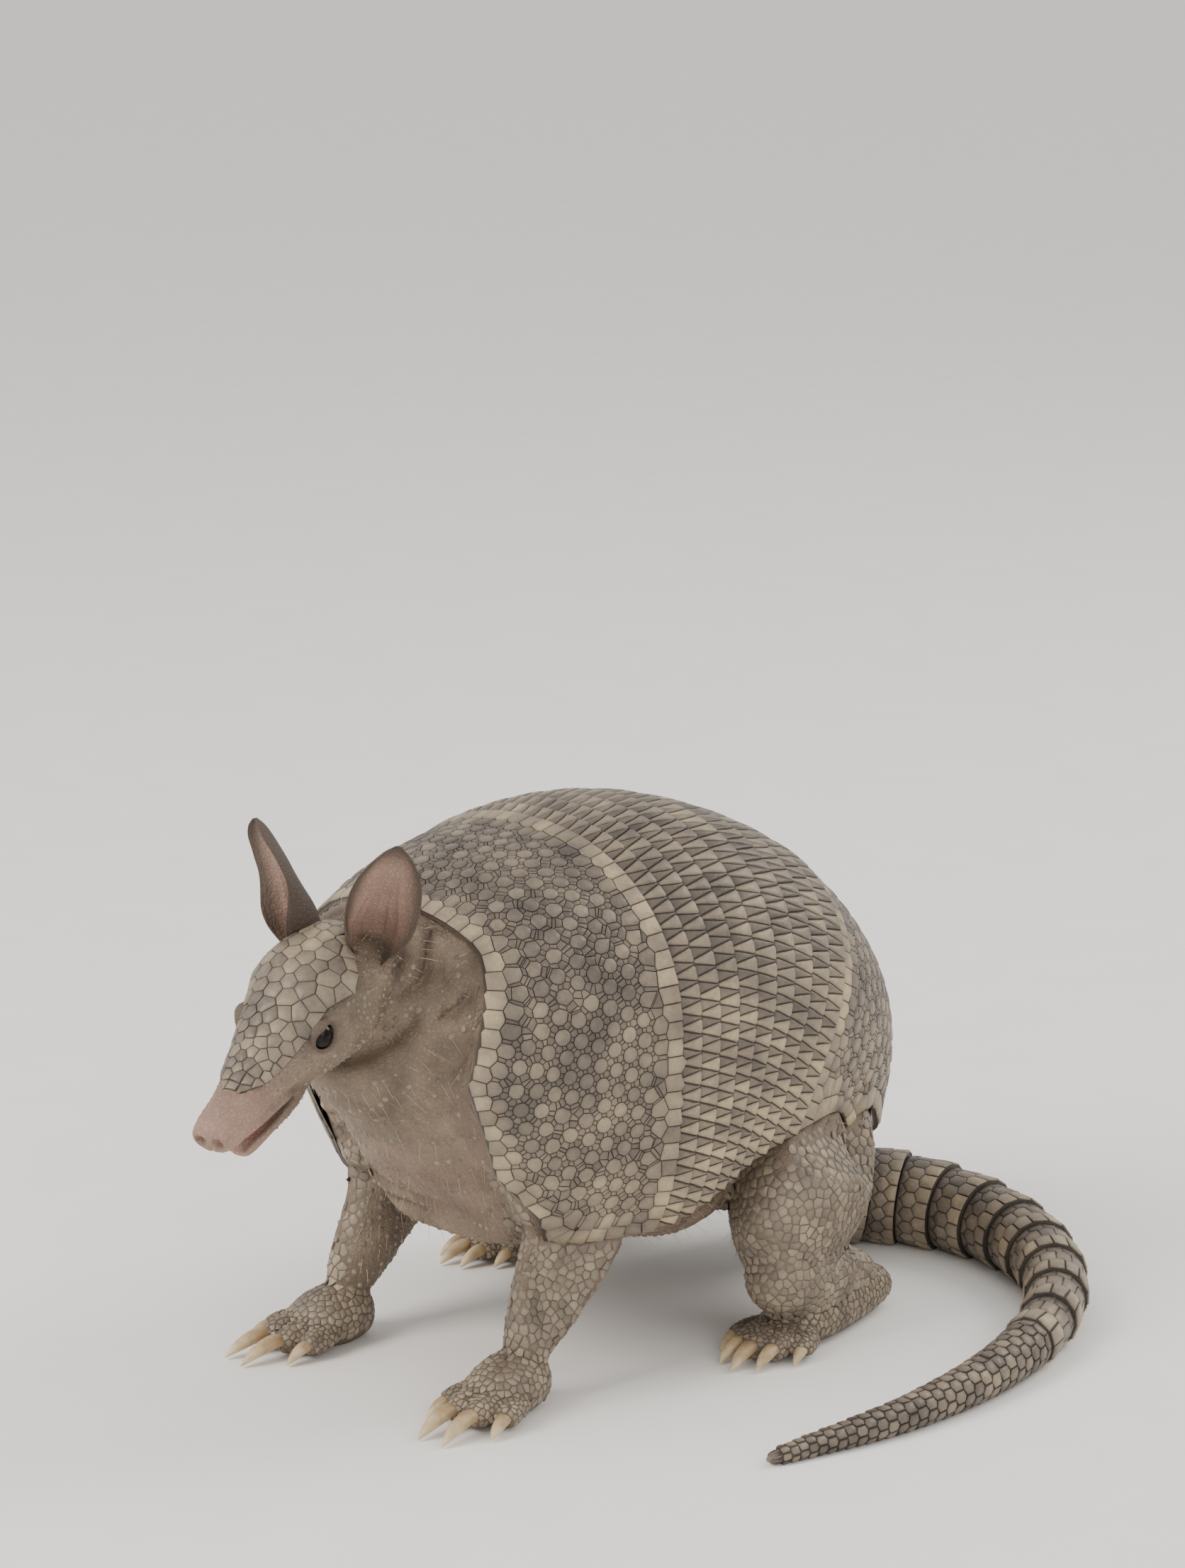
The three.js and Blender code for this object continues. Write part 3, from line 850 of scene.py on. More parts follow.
def cut_cells(
    mosaic: Mosaic,
    point: Array,
    normal: Array,
    ahead: Array,
    weight: Array,
    reach: Sequence[float],
    cuts: Sequence[ScuteCut | None],
    tone: Sequence[float],
    patch: Callable[[int, Array], Array],
) -> None:
    """Gives each seed the ground that is nearest to it for its weight, and makes a scute of it.

    Args:
        mosaic: What the scutes are added to.
        point: The seeds' places, as rows, in mm.
        normal: The surface's normals there.
        ahead: The directions of the scutes' rear edges.
        weight: The radius that each seed claims, in mm.
        reach: The furthest that each scute may stretch, in mm.
        cuts: How each scute is stepped; a seed with None only bounds its neighbours.
        tone: Each scute's shade.
        patch: Gives a scute's corners' places on the bake map from its index and its flat corners.
    """
    tree, turns = tree_of(point), np.arange(8) * math.pi / 4
    for i, cut in enumerate(cuts):
        if cut is None:
            continue
        p, n, e2 = point[i], normal[i], ahead[i]
        e1 = np.cross(e2, n)
        near = [j for _, j, far in tree.find_range(p, reach[i] * 2.2) if far > 0.05]
        near = near or [j for _, j, far in tree.find_n(p, 4) if far > 0.05]
        offset = point[near] - p
        flat = np.stack([offset @ e1, offset @ e2], axis=-1)
        far2 = np.maximum(np.sum(flat**2, axis=1), 1e-6)
        far = np.sqrt(far2)
        limits = (far2 + weight[i] ** 2 - weight[near] ** 2) / (2 * far) - cut.groove / 2
        outline: Polygon = [(reach[i] * math.cos(a), reach[i] * math.sin(a)) for a in turns]
        for k in np.argsort(limits):
            if limits[k] > reach[i] or len(outline) < 3:
                break
            outline = clipped(outline, flat[k, 0] / far[k], flat[k, 1] / far[k], limits[k])
        if len(outline) < 3:
            continue
        corners = np.array(outline)
        corners = corners[np.linalg.norm(corners - np.roll(corners, 1, axis=0), axis=1) > 0.12]
        if len(corners) < 3:
            continue
        closest = ((corners @ flat.T) / far2).argmax(axis=1)
        drop = (offset[closest] @ n) * np.sum(corners**2, axis=1) / far2[closest]
        solid = p + corners[:, :1] * e1 + corners[:, 1:] * e2 + np.clip(drop, -1.2, 1.2)[:, None] * n
        mosaic.add(solid, n, e2, cut, tone[i], patch(i, corners))


def settle(
    form: Form,
    u: Array,
    v: Array,
    pitch: Field,
    limits: Callable[[Array, Array], tuple[Array, Array]],
    rounds: int,
) -> tuple[Array, Array]:
    """Pushes places on a form apart until they stand about a pitch from each other.

    Args:
        form: The form that they stand on.
        u: Their places across.
        v: Their places along.
        pitch: Gives the pitch at each place, in mm.
        limits: Brings places back inside the region.
        rounds: How often they are pushed.

    Returns:
        The new places.
    """
    e = 1e-3
    for _ in range(rounds):
        p = form.at(u, v)
        du = (form.at(u + e, v) - form.at(u - e, v)) / (2 * e)
        dv = (form.at(u, v + e) - form.at(u, v - e)) / (2 * e)
        push = shove(p, pitch(u, v) * 1.06, 0.32)
        a, b, c = np.sum(du * du, 1), np.sum(du * dv, 1), np.sum(dv * dv, 1)
        f, g = np.sum(push * du, 1), np.sum(push * dv, 1)
        det = np.maximum(a * c - b * b, 1e-9)
        u, v = limits(u + (c * f - b * g) / det, v + (a * g - b * f) / det)
    return u, v


def scatter(
    form: Form,
    spots: Sequence[tuple[float, float]],
    pitch: Field,
    closest: float,
) -> tuple[Array, Array]:
    """Keeps those spots that stand far enough from the ones kept before.

    Args:
        form: The form that they stand on.
        spots: Places across and along, in the order in which they are tried.
        pitch: Gives the pitch at each place, in mm.
        closest: How near two may stand, as a part of the pitch.

    Returns:
        The kept places.
    """
    u, v = np.array(spots).T
    kept = thin_out(form.at(u, v), pitch(u, v) * closest)
    return u[kept], v[kept]


# ------------------------------------------------------------------ the shell


RIM_ANGLE = Profile(
    (-0.1, 2.3), (0.1, 2.42), (0.28, 2.3), (0.45, 2.02), (0.64, 1.76), (0.85, 1.62), (1, 1.72)
)
BANDS = 9
SCAPULAR_END = 0.28  # the station of the shoulder shield's rear edge
BANDS_END = 0.64  # and of the last band's
BAND_GAP = 0.4 / 300  # 0.4 mm, as a part of the trunk's length
SHELL_OUTER = 3.8  # the plates' tops over the trunk, in mm
SHELL_LIFT = 1.2  # how much higher a plate's rear edge stands
SHELL_INNER = 1.6  # the plates' undersides over the trunk
SHELL_COLLAR = 6.0  # how far the shoulder shield flares over the nape
BED_UNDER = SHELL_INNER + 0.2 - SHELL_OUTER  # the beds' undersides over the plates' tops
RIM_SAMPLES = 6000  # points that a plate's girth is measured at
TABLE_STEPS = 500  # places in the table that evens u out
Edge = Callable[[Array], Array]


@dataclass
class PlateForm(Form):
    """The top of one shell plate: u runs evenly from rim to rim, v from its front edge to its rear one."""

    front: Edge
    rear: Edge
    lift_from: float = 0.8
    top: float = SHELL_OUTER
    rows: int = 9

    def __post_init__(self) -> None:
        """Measures the plate round its middle at several places along it, so that u can follow its width."""
        turns = np.linspace(0, 1, RIM_SAMPLES)
        table = []
        for v in np.linspace(0, 1, self.rows):
            ring = self.turned(turns, np.full(RIM_SAMPLES, v))
            run = np.concatenate([[0], np.cumsum(np.linalg.norm(np.diff(ring, axis=0), axis=1))])
            table.append(np.interp(np.linspace(0, 1, TABLE_STEPS), run / run[-1], turns))
        self.table = np.array(table)

    def turned(self, turn: Array, v: Array, out: Array | float = 0.0) -> Array:
        """The point at a part of the rim's angle and v from 0 to 1.

        Args:
            turn: Parts of the rim's angle.
            v: Places along, from 0 to 1.
            out: Height over the surface, in mm.

        Returns:
            The points, as rows in mm.
        """
        front, rear = self.front(np.abs(turn)), self.rear(np.abs(turn))
        station = front + (rear - front) * v
        high = self.top + SHELL_LIFT * step(v, self.lift_from, 1) + SHELL_COLLAR * step(-station, -0.05, 0.15)
        return TRUNK.at(turn * RIM_ANGLE(station), station, high + out)

    def at(self, u: Array, v: Array, out: Array | float = 0.0) -> Array:
        """The point at u from -1 to 1 and v from 0 to 1.

        Args:
            u: Places across, from -1 to 1.
            v: Places along, from 0 to 1.
            out: Height over the surface, in mm.

        Returns:
            The points, as rows in mm.
        """
        u, v = np.broadcast_arrays(np.asarray(u, float), np.asarray(v, float))
        end = TABLE_STEPS - 1
        row, place = np.clip(v, 0, 1) * (self.rows - 1), np.clip(np.abs(u), 0, 1) * end
        i, k = np.minimum(row.astype(int), self.rows - 2), np.minimum(place.astype(int), end - 1)
        w, t = row - i, place - k
        inside = (1 - w) * ((1 - t) * self.table[i, k] + t * self.table[i, k + 1])
        inside += w * ((1 - t) * self.table[i + 1, k] + t * self.table[i + 1, k + 1])
        last = (self.table[i, end] - self.table[i, end - 20]) / 20 * end
        turn = inside + np.maximum(np.abs(u) - 1, 0) * last
        return self.turned(np.sign(u) * turn, v, out)

    def size(self) -> tuple[float, float]:
        """How many mm one unit of u is, and how long the plate is along the back.

        Returns:
            Both, in mm.
        """
        way = np.linspace(0, 1, 60)
        lines = self.at(way, np.full(60, 0.5)), self.at(np.zeros(60), way)
        return tuple(float(np.sum(np.linalg.norm(np.diff(p, axis=0), axis=1))) for p in lines)


def scapular_front(u: Array) -> Array:
    """The shoulder shield's front edge: level on the nape, forward over the shoulders, round below."""
    return -0.15 * step(u, 0.25, 0.65) + 0.17 * step(u, 0.8, 1) ** 2


def pelvic_rear(u: Array) -> Array:
    """The rump shield's rear edge, notched over the tail."""
    return 1.0 + 0.05 * step(u, 0.05, 0.45) - 0.17 * step(u, 0.6, 1) ** 1.5


def band_edge(i: int) -> float:
    """The station of the front edge of band i, counted from 0."""
    return SCAPULAR_END + (BANDS_END - SCAPULAR_END) * i / BANDS


def level(value: float) -> Edge:
    """An edge that runs straight round the body."""
    return lambda u: np.full_like(np.asarray(u, float), value)


STRETCHES = (
    (scapular_front, level(SCAPULAR_END)),
    (level(SCAPULAR_END), level(BANDS_END)),
    (level(BANDS_END), pelvic_rear),
)


def even_pitch(size: float) -> Field:
    """A pitch in mm that is the same everywhere."""
    return lambda u, v: np.full_like(u, size)


def flank_shade(u: float) -> float:
    """How much paler the scutes are towards the rim."""
    return 0.2 * float(step(abs(u), 0.35, 0.95))


def on_plate_map(u: Array, v: Array) -> Array:
    """A plate's places on the lower half of its bake map."""
    return np.stack([0.5 + 0.485 * u, 0.03 + 0.46 * v], axis=-1)


def plate_bed(form: Form, across: int, along: int, top: float, under: float = BED_UNDER) -> Piece:
    """The thin plate that scutes are set in.

    Args:
        form: The surface under the scutes.
        across: The bed's cells across.
        along: Its cells along.
        top: Its upper face's height over the form, in mm.
        under: Its lower face's height.

    Returns:
        The closed bed, with its attributes and its bake map in the upper half of the square.
    """

    def place(x: Array, y: Array, z: Array) -> Array:
        """Where the blank's points go."""
        return form.at(x, (y + 1) / 2, np.where(z > 0.5, top, under))

    piece = moulded_plate("bed", across, along, place)
    count, index = (across + 1) * (along + 1), np.arange(len(piece.data.vertices))
    below, index = index < count, index % count
    x, y = (index % (across + 1)) / across, (index // (across + 1)) / along
    write_map(piece, np.stack([0.01 + 0.98 * x, np.where(below, 0.52, 0.76) + 0.22 * y], axis=-1))
    write_attribute(piece, "tone", np.full(len(index), 0.3))
    # The bed's top, seen in the grooves, has low relief, which the horn finish paints dark with soil and
    # painted shade
    write_attribute(piece, "relief", np.where(below, 0.5, 0.12))
    smooth_shade(piece, 50)
    return piece


ROSETTE = ScuteCut(groove=0.26, bevel=0.55, edge=0.16, shoulder=0.52, crown=0.66)
PEBBLE = ScuteCut(groove=0.2, bevel=0.26, edge=0.02, shoulder=0.2, crown=0.28)
RIM_SCUTE = ScuteCut(groove=0.28, bevel=0.5, edge=0.14, shoulder=0.5, crown=0.6, slant=0.12)


@dataclass
class Shield:
    """A shoulder or rump shield: rosettes of large scutes ringed by small ones, in a rim of oblong ones."""

    name: str
    form: PlateForm
    seed: int
    pitch: float = 7.0
    rim: float = 6.4
    rosette_weight: float = 2.8
    rim_weight: float = 2.9
    pebble_weight: float = 0.85
    corner_weight: float = 1.35
    bed_cells: tuple[int, int] = (96, 28)
    bed_top: float = -0.26

    def __post_init__(self) -> None:
        """Measures the shield and takes a source for its small differences."""
        self.width, self.length = self.form.size()
        self.dice = random.Random(self.seed)

    def build(self) -> Piece:
        """Models the shield with its bed and scutes.

        Returns:
            The piece.
        """
        seeds = Seeds(self.form)
        self.add_rim(seeds)
        u, v = self.rosettes()
        for a, b in zip(u, v):
            weight = self.rosette_weight * self.dice.uniform(0.93, 1.06)
            seeds.add(a, b, weight, ROSETTE, 0.36 + flank_shade(a) + self.dice.uniform(-0.12, 0.12), 7.0)
        self.add_pebbles(seeds, u, v)
        seeds.mirror_beyond(1.0, 6.0)
        scutes = seeds.cut_into(Mosaic(), on_plate_map).piece(self.name)
        return joined(self.name, [scutes, plate_bed(self.form, *self.bed_cells, self.bed_top)])

    def along(self, u: Array) -> Array:
        """How long the shield is at u, in mm.

        Args:
            u: Places across, from -1 to 1.

        Returns:
            The lengths.
        """
        u = np.asarray(u, float)
        middle = self.form.at(u, np.full_like(u, 0.55)) - self.form.at(u, np.full_like(u, 0.45))
        return np.linalg.norm(middle, axis=-1) * 10

    def inward(self, u: Array, v_edge: float) -> tuple[Array, Array]:
        """How far v and u change for each mm into the shield, square to its front or rear edge.

        Args:
            u: Places along the edge.
            v_edge: 0 for the front edge, 1 for the rear one.

        Returns:
            The change of v, without its sign, and the change of u.
        """
        e, edge = 1e-3, np.full_like(u, v_edge)
        run = self.form.at(u + e, edge) - self.form.at(u - e, edge)
        climb = (self.form.at(u, np.abs(edge - e)) - self.form.at(u, edge)) / e
        slip = np.sum(climb * run, axis=1) / np.sum(run * run, axis=1)
        depth = 1 / np.linalg.norm(climb - run * slip[:, None], axis=1)
        return depth, -slip * 2 * e * depth

    def add_rim(self, seeds: Seeds) -> None:
        """Adds the oblong scutes along the edges.

        Args:
            seeds: What they are added to.
        """
        spots = []
        for v_edge in (1.0, 0.0):
            u = np.linspace(-1, 1, 1200)
            step_mm = np.linalg.norm(np.diff(self.form.at(u, np.full_like(u, v_edge)), axis=0), axis=1)
            run = np.concatenate([[0], np.cumsum(step_mm)])
            count = round(run[-1] / self.rim)
            at = np.interp((np.arange(count) + 0.5) / count * run[-1], run, u)
            depth, slide = self.inward(at, v_edge)
            spots += zip(at + 3.3 * slide, np.abs(v_edge - 3.3 * depth))
        for hand in (-1, 1):
            side_long = float(self.along(1.0))
            count = max(round((side_long - 8) / self.rim), 2)
            for k in range(count):
                down = (4 + (k + 0.5) * (side_long - 8) / count) / side_long
                spots.append((hand * (1 - 3.2 / self.width), down))
        u, v = scatter(self.form, spots, even_pitch(self.rim), 0.7)
        for a, b in zip(u, v):
            weight = self.rim_weight * self.dice.uniform(0.97, 1.03)
            seeds.add(a, b, weight, RIM_SCUTE, 0.46 + 0.3 * self.dice.random(), 6.5)

    def rosettes(self) -> tuple[Array, Array]:
        """Where the large scutes stand: in rows round the body, each set off by half a scute.

        Returns:
            Their places across and along.
        """
        dice, inset = self.dice, self.rim + self.pitch * 0.42
        side, across = 1 - inset / self.width, np.linspace(-1, 1, 401)
        front, rear = (inset * self.inward(across, v_edge)[0] for v_edge in (0.0, 1.0))

        def limits(u: Array, v: Array) -> tuple[Array, Array]:
            """Brings places back inside the rim."""
            u = np.clip(u, -side, side)
            return u, np.clip(v, np.interp(u, across, front), 1 - np.interp(u, across, rear))

        longest = float(self.along(np.linspace(0, 1, 20)).max())
        row_gap = self.pitch * 0.87 / longest
        count = int(2 * self.width / self.pitch)
        spots = []
        for r in range(int(1 / row_gap) + 1):
            for c in range(count):
                a = ((c + 0.5 * (r % 2)) / count * 2 - 1) + dice.uniform(-0.4, 0.4) / self.width
                spots.append((a, r * row_gap + dice.uniform(-0.3, 0.3) / self.length))
        spots += [(dice.uniform(-1, 1), dice.random()) for _ in range(6000)]
        spots = list(zip(*limits(*np.array(spots).T)))
        u, v = scatter(self.form, spots, even_pitch(self.pitch), 0.83)
        return settle(self.form, u, v, even_pitch(self.pitch), limits, 24)

    def add_pebbles(self, seeds: Seeds, u: Array, v: Array) -> None:
        """Adds the small scutes between neighbouring large ones and in the corners between three.

        Args:
            seeds: What they are added to.
            u: The large scutes' places across.
            v: Their places along.
        """
        flat = [Vector((a * self.width, b * self.length)) for a, b in zip(u, v)]
        _, _, triangles, _, _, _ = delaunay_2d_cdt(flat, [], [], 0, 1e-6)
        point = self.form.at(u, v)
        edges = set()
        shortest, longest = self.pitch * 0.78, self.pitch * 2.6
        for tri in triangles:
            pairs = [tuple(sorted((tri[k], tri[(k + 1) % 3]))) for k in range(3)]
            if all(shortest < np.linalg.norm(point[a] - point[b]) < longest for a, b in pairs):
                a, b = u[list(tri)].mean(), v[list(tri)].mean()
                seeds.add(a, b, self.corner_weight, PEBBLE, self.pebble_shade(a), 6.0)
            edges.update(pairs)
        for a, b in sorted(edges):
            if shortest * 1.12 < np.linalg.norm(point[a] - point[b]) < longest:
                mid = (u[a] + u[b]) / 2, (v[a] + v[b]) / 2
                seeds.add(*mid, self.pebble_weight, PEBBLE, self.pebble_shade(mid[0]), 5.0)

    def pebble_shade(self, u: float) -> float:
        """The shade of a small scute."""
        return 0.14 + flank_shade(u) + 0.2 * self.dice.random()


BAND_SCUTE = ScuteCut(groove=0.24, bevel=0.6, edge=0.12, shoulder=0.5, crown=0.66, slant=0.1)
TAIL_SCUTE = ScuteCut(groove=0.26, bevel=0.6, edge=0.12, shoulder=0.5, crown=0.62, slant=0.2, keel=0.25)
HEAD_SCUTE = ScuteCut(groove=0.24, bevel=0.5, edge=0.1, shoulder=0.4, crown=0.5, sink=0.3)


@dataclass
class Band:
    """One of the nine bands that ring the back: long wedge scutes, set point to base in turn."""

    index: int
    unit: float = 6.2
    wedge: float = 0.2
    bed_cells: tuple[int, int] = (96, 6)

    def __post_init__(self) -> None:
        """Lays out the band's top and takes a source for its small differences."""
        gap = BAND_GAP / 2
        self.form = PlateForm(level(band_edge(self.index) + gap), level(band_edge(self.index + 1) - gap), 0.0)
        self.dice = random.Random(100 + self.index)

    def build(self) -> Piece:
        """Models the band with its bed and scutes.

        Returns:
            The piece.
        """
        count = round(2 * self.form.size()[0] / self.unit)
        mosaic = Mosaic()
        for i in range(-3, count + 3):
            at = (2 * i + 1) / count - 1
            self.add_wedge(mosaic, at, self.wedge / count, (1 - self.wedge * 0.7) / count)
            self.add_wedge(mosaic, at + 1 / count, (1 - self.wedge * 1.6) / count, 0.16 / count)
        piece = mosaic.piece(f"band_{self.index + 1}_scutes")
        return joined(piece.name, [piece, plate_bed(self.form, *self.bed_cells, -0.1)])

    def add_wedge(self, mosaic: Mosaic, at: float, front: float, rear: float) -> None:
        """Adds one long scute.

        Args:
            mosaic: What it is added to.
            at: Its place across.
            front: Half its width at the front, in u.
            rear: Half its width at the rear, in u.
        """
        pale = rear > front
        slim = 0.12 / 150  # half the groove between two wedges, in u
        front, rear = max(front - slim, slim), max(rear - slim, slim)
        tail = 0.995 if pale else 0.93
        waist = front + (rear - front) * 0.5
        ring = [(-front, 0.05), (front, 0.05), (waist, 0.5), (rear, tail - 0.08)]
        ring += [(rear * 0.7, tail), (-rear * 0.7, tail), (-rear, tail - 0.08), (-waist, 0.5)]
        b = np.array([r[1] for r in ring])
        held, e = np.array([min(max(at, -1), 1)]), 8e-3
        side = (self.form.at(held + e, 0.5) - self.form.at(held - e, 0.5))[0]
        run = (self.form.at(held, 0.5 + e) - self.form.at(held, 0.5 - e))[0]
        a = np.clip(at + np.array([r[0] for r in ring]) - (side @ run) / (side @ side) * (b - 0.5), -1, 1)
        if np.ptp(a) < 0.35 * 2 * max(front, rear):
            return
        _, normal, ahead = self.form.stand(held, np.array([0.5]))
        tone = (0.42 if pale else 0.14) + flank_shade(at) * 1.2 + 0.16 * self.dice.random()
        mosaic.add(self.form.at(a, b), normal[0], ahead[0], BAND_SCUTE, tone, on_plate_map(a, b))


HEAD_SHIELD_BACK = 0.02
HEAD_SHIELD_FRONT = 0.82
HEAD_SHIELD_TOP = 2.1
HEAD_SHIELD_RIM = Profile(
    (0, 0.3), (0.13, 0.38), (0.2, 0.72), (0.3, 0.98), (0.42, 0.84), (0.6, 0.98), (0.74, 0.9), (0.82, 0.4)
)


@dataclass
class HeadPlateForm(Form):
    """The top of the head shield: u from rim to rim, v from the nape to the snout."""

    def at(self, u: Array, v: Array, out: Array | float = 0.0) -> Array:
        """The point at u from -1 to 1 and v from 0 to 1.

        Args:
            u: Places across, from -1 to 1.
            v: Places along, from 0 to 1.
            out: Height over the surface, in mm.

        Returns:
            The points, as rows in mm.
        """
        u, v = np.broadcast_arrays(np.asarray(u, float), np.asarray(v, float))
        along = HEAD_SHIELD_BACK + (HEAD_SHIELD_FRONT - HEAD_SHIELD_BACK) * v
        rim = np.maximum(0.9 * step(np.abs(u), 0.45, 1.0), 1.1 * (1 - step(v, 0, 0.08)))
        rim = np.maximum(rim, 1.6 * step(v, 0.8, 1.0))
        return SKULL.at(u * HEAD_SHIELD_RIM(along), along, HEAD_SHIELD_TOP - 0.3 - rim + out)


@dataclass
class HeadShield:
    """The flat shield of many-sided scutes on the forehead and the bridge of the snout."""

    crown_pitch: float = 6.4
    snout_pitch: float = 3.6
    width: float = 19.0
    length: float = 80.0

    def pitch(self, u: Array, v: Array) -> Array:
        """The scutes' pitch, large on the forehead and small on the snout and at the rims."""
        grow = step(v, 0.0, 0.25) * (1 - step(v, 0.45, 0.95)) * (1 - 0.35 * step(np.abs(u), 0.5, 1))
        return self.snout_pitch + (self.crown_pitch - self.snout_pitch) * grow

    def build(self) -> Piece:
        """Models the shield with its bed and scutes.

        Returns:
            The piece.
        """
        form, dice = HeadPlateForm(), random.Random(31)

        def limits(u: Array, v: Array) -> tuple[Array, Array]:
            """Brings places back inside the rim."""
            inset = self.pitch(u, v) * 0.46
            side = 1 - inset / self.width
            return np.clip(u, -side, side), np.clip(v, inset / self.length, 1 - inset / self.length)

        spots = [(dice.uniform(-1, 1), dice.random()) for _ in range(9000)]
        spots = list(zip(*limits(*np.array(spots).T)))
        u, v = scatter(form, spots, self.pitch, 0.82)
        u, v = settle(form, u, v, self.pitch, limits, 20)
        seeds = Seeds(form)
        for a, b, p in zip(u, v, self.pitch(u, v)):
            seeds.add(a, b, p * dice.uniform(0.42, 0.56), HEAD_SCUTE, 0.34 + 0.28 * dice.random(), p * 1.8)
        seeds.mirror_beyond(1.0, 5.0)
        piece = seeds.cut_into(Mosaic(), on_plate_map).piece("head_shield_scutes")
        return joined(piece.name, [piece, plate_bed(form, 28, 64, -0.1, 1.0 - HEAD_SHIELD_TOP)])


TAIL_RINGS = 12
TAIL_RINGED = 0.7
TAIL_LENGTH = 370.0


def ring_edge(i: int) -> float:
    """Where tail ring i starts, counted from 0, as a part of the tail's length."""
    even = i / TAIL_RINGS
    return TAIL_RINGED * (even + (math.sqrt(even) - even) * 0.12)


@dataclass
class TailStretch(Form):
    """A stretch of the tail, flared towards its rear: u from -1 to 1 goes once round it."""

    start: float
    end: float
    flare: float = 0.05

    def at(self, u: Array, v: Array, out: Array | float = 0.0) -> Array:
        """The point at u from -1 to 1 and v from 0 to 1.

        Args:
            u: Places across, from -1 to 1.
            v: Places along, from 0 to 1.
            out: Height over the surface, in mm.

        Returns:
            The points, as rows in mm.
        """
        t = self.start + (self.end - self.start) * np.asarray(v, float)
        radius = TAIL.radius(t)
        point = np.sqrt(np.maximum(1 - np.clip((t - 0.98) / 0.0199, 0, 1) ** 2, 1e-3))
        high = (radius * (1 + self.flare * (2 * np.asarray(v, float) - 1)) + out) * point - radius
        p = TAIL.at(np.asarray(u, float) * math.pi, t, high)
        p[:, 2] = np.maximum(p[:, 2], 0)
        return p

    def stand(self, u: Array, v: Array, out: Array | float = 0.0) -> tuple[Array, Array, Array]:
        """Where pieces stand, with the normals square to the tail's middle line, also inside its bend.

        Args:
            u: Places across, from -1 to 1.
            v: Places along, from 0 to 1.
            out: Height over the surface, in mm.

        Returns:
            The points, the normals and the directions towards the tip.
        """
        point, t = self.at(u, v, out), self.start + (self.end - self.start) * np.asarray(v, float)
        ahead = unit(TAIL.centre(t + 1e-3) - TAIL.centre(t - 1e-3))
        normal = point - ORIGIN - TAIL.centre(t)
        return point, unit(normal - ahead * np.sum(normal * ahead, axis=1, keepdims=True)), ahead


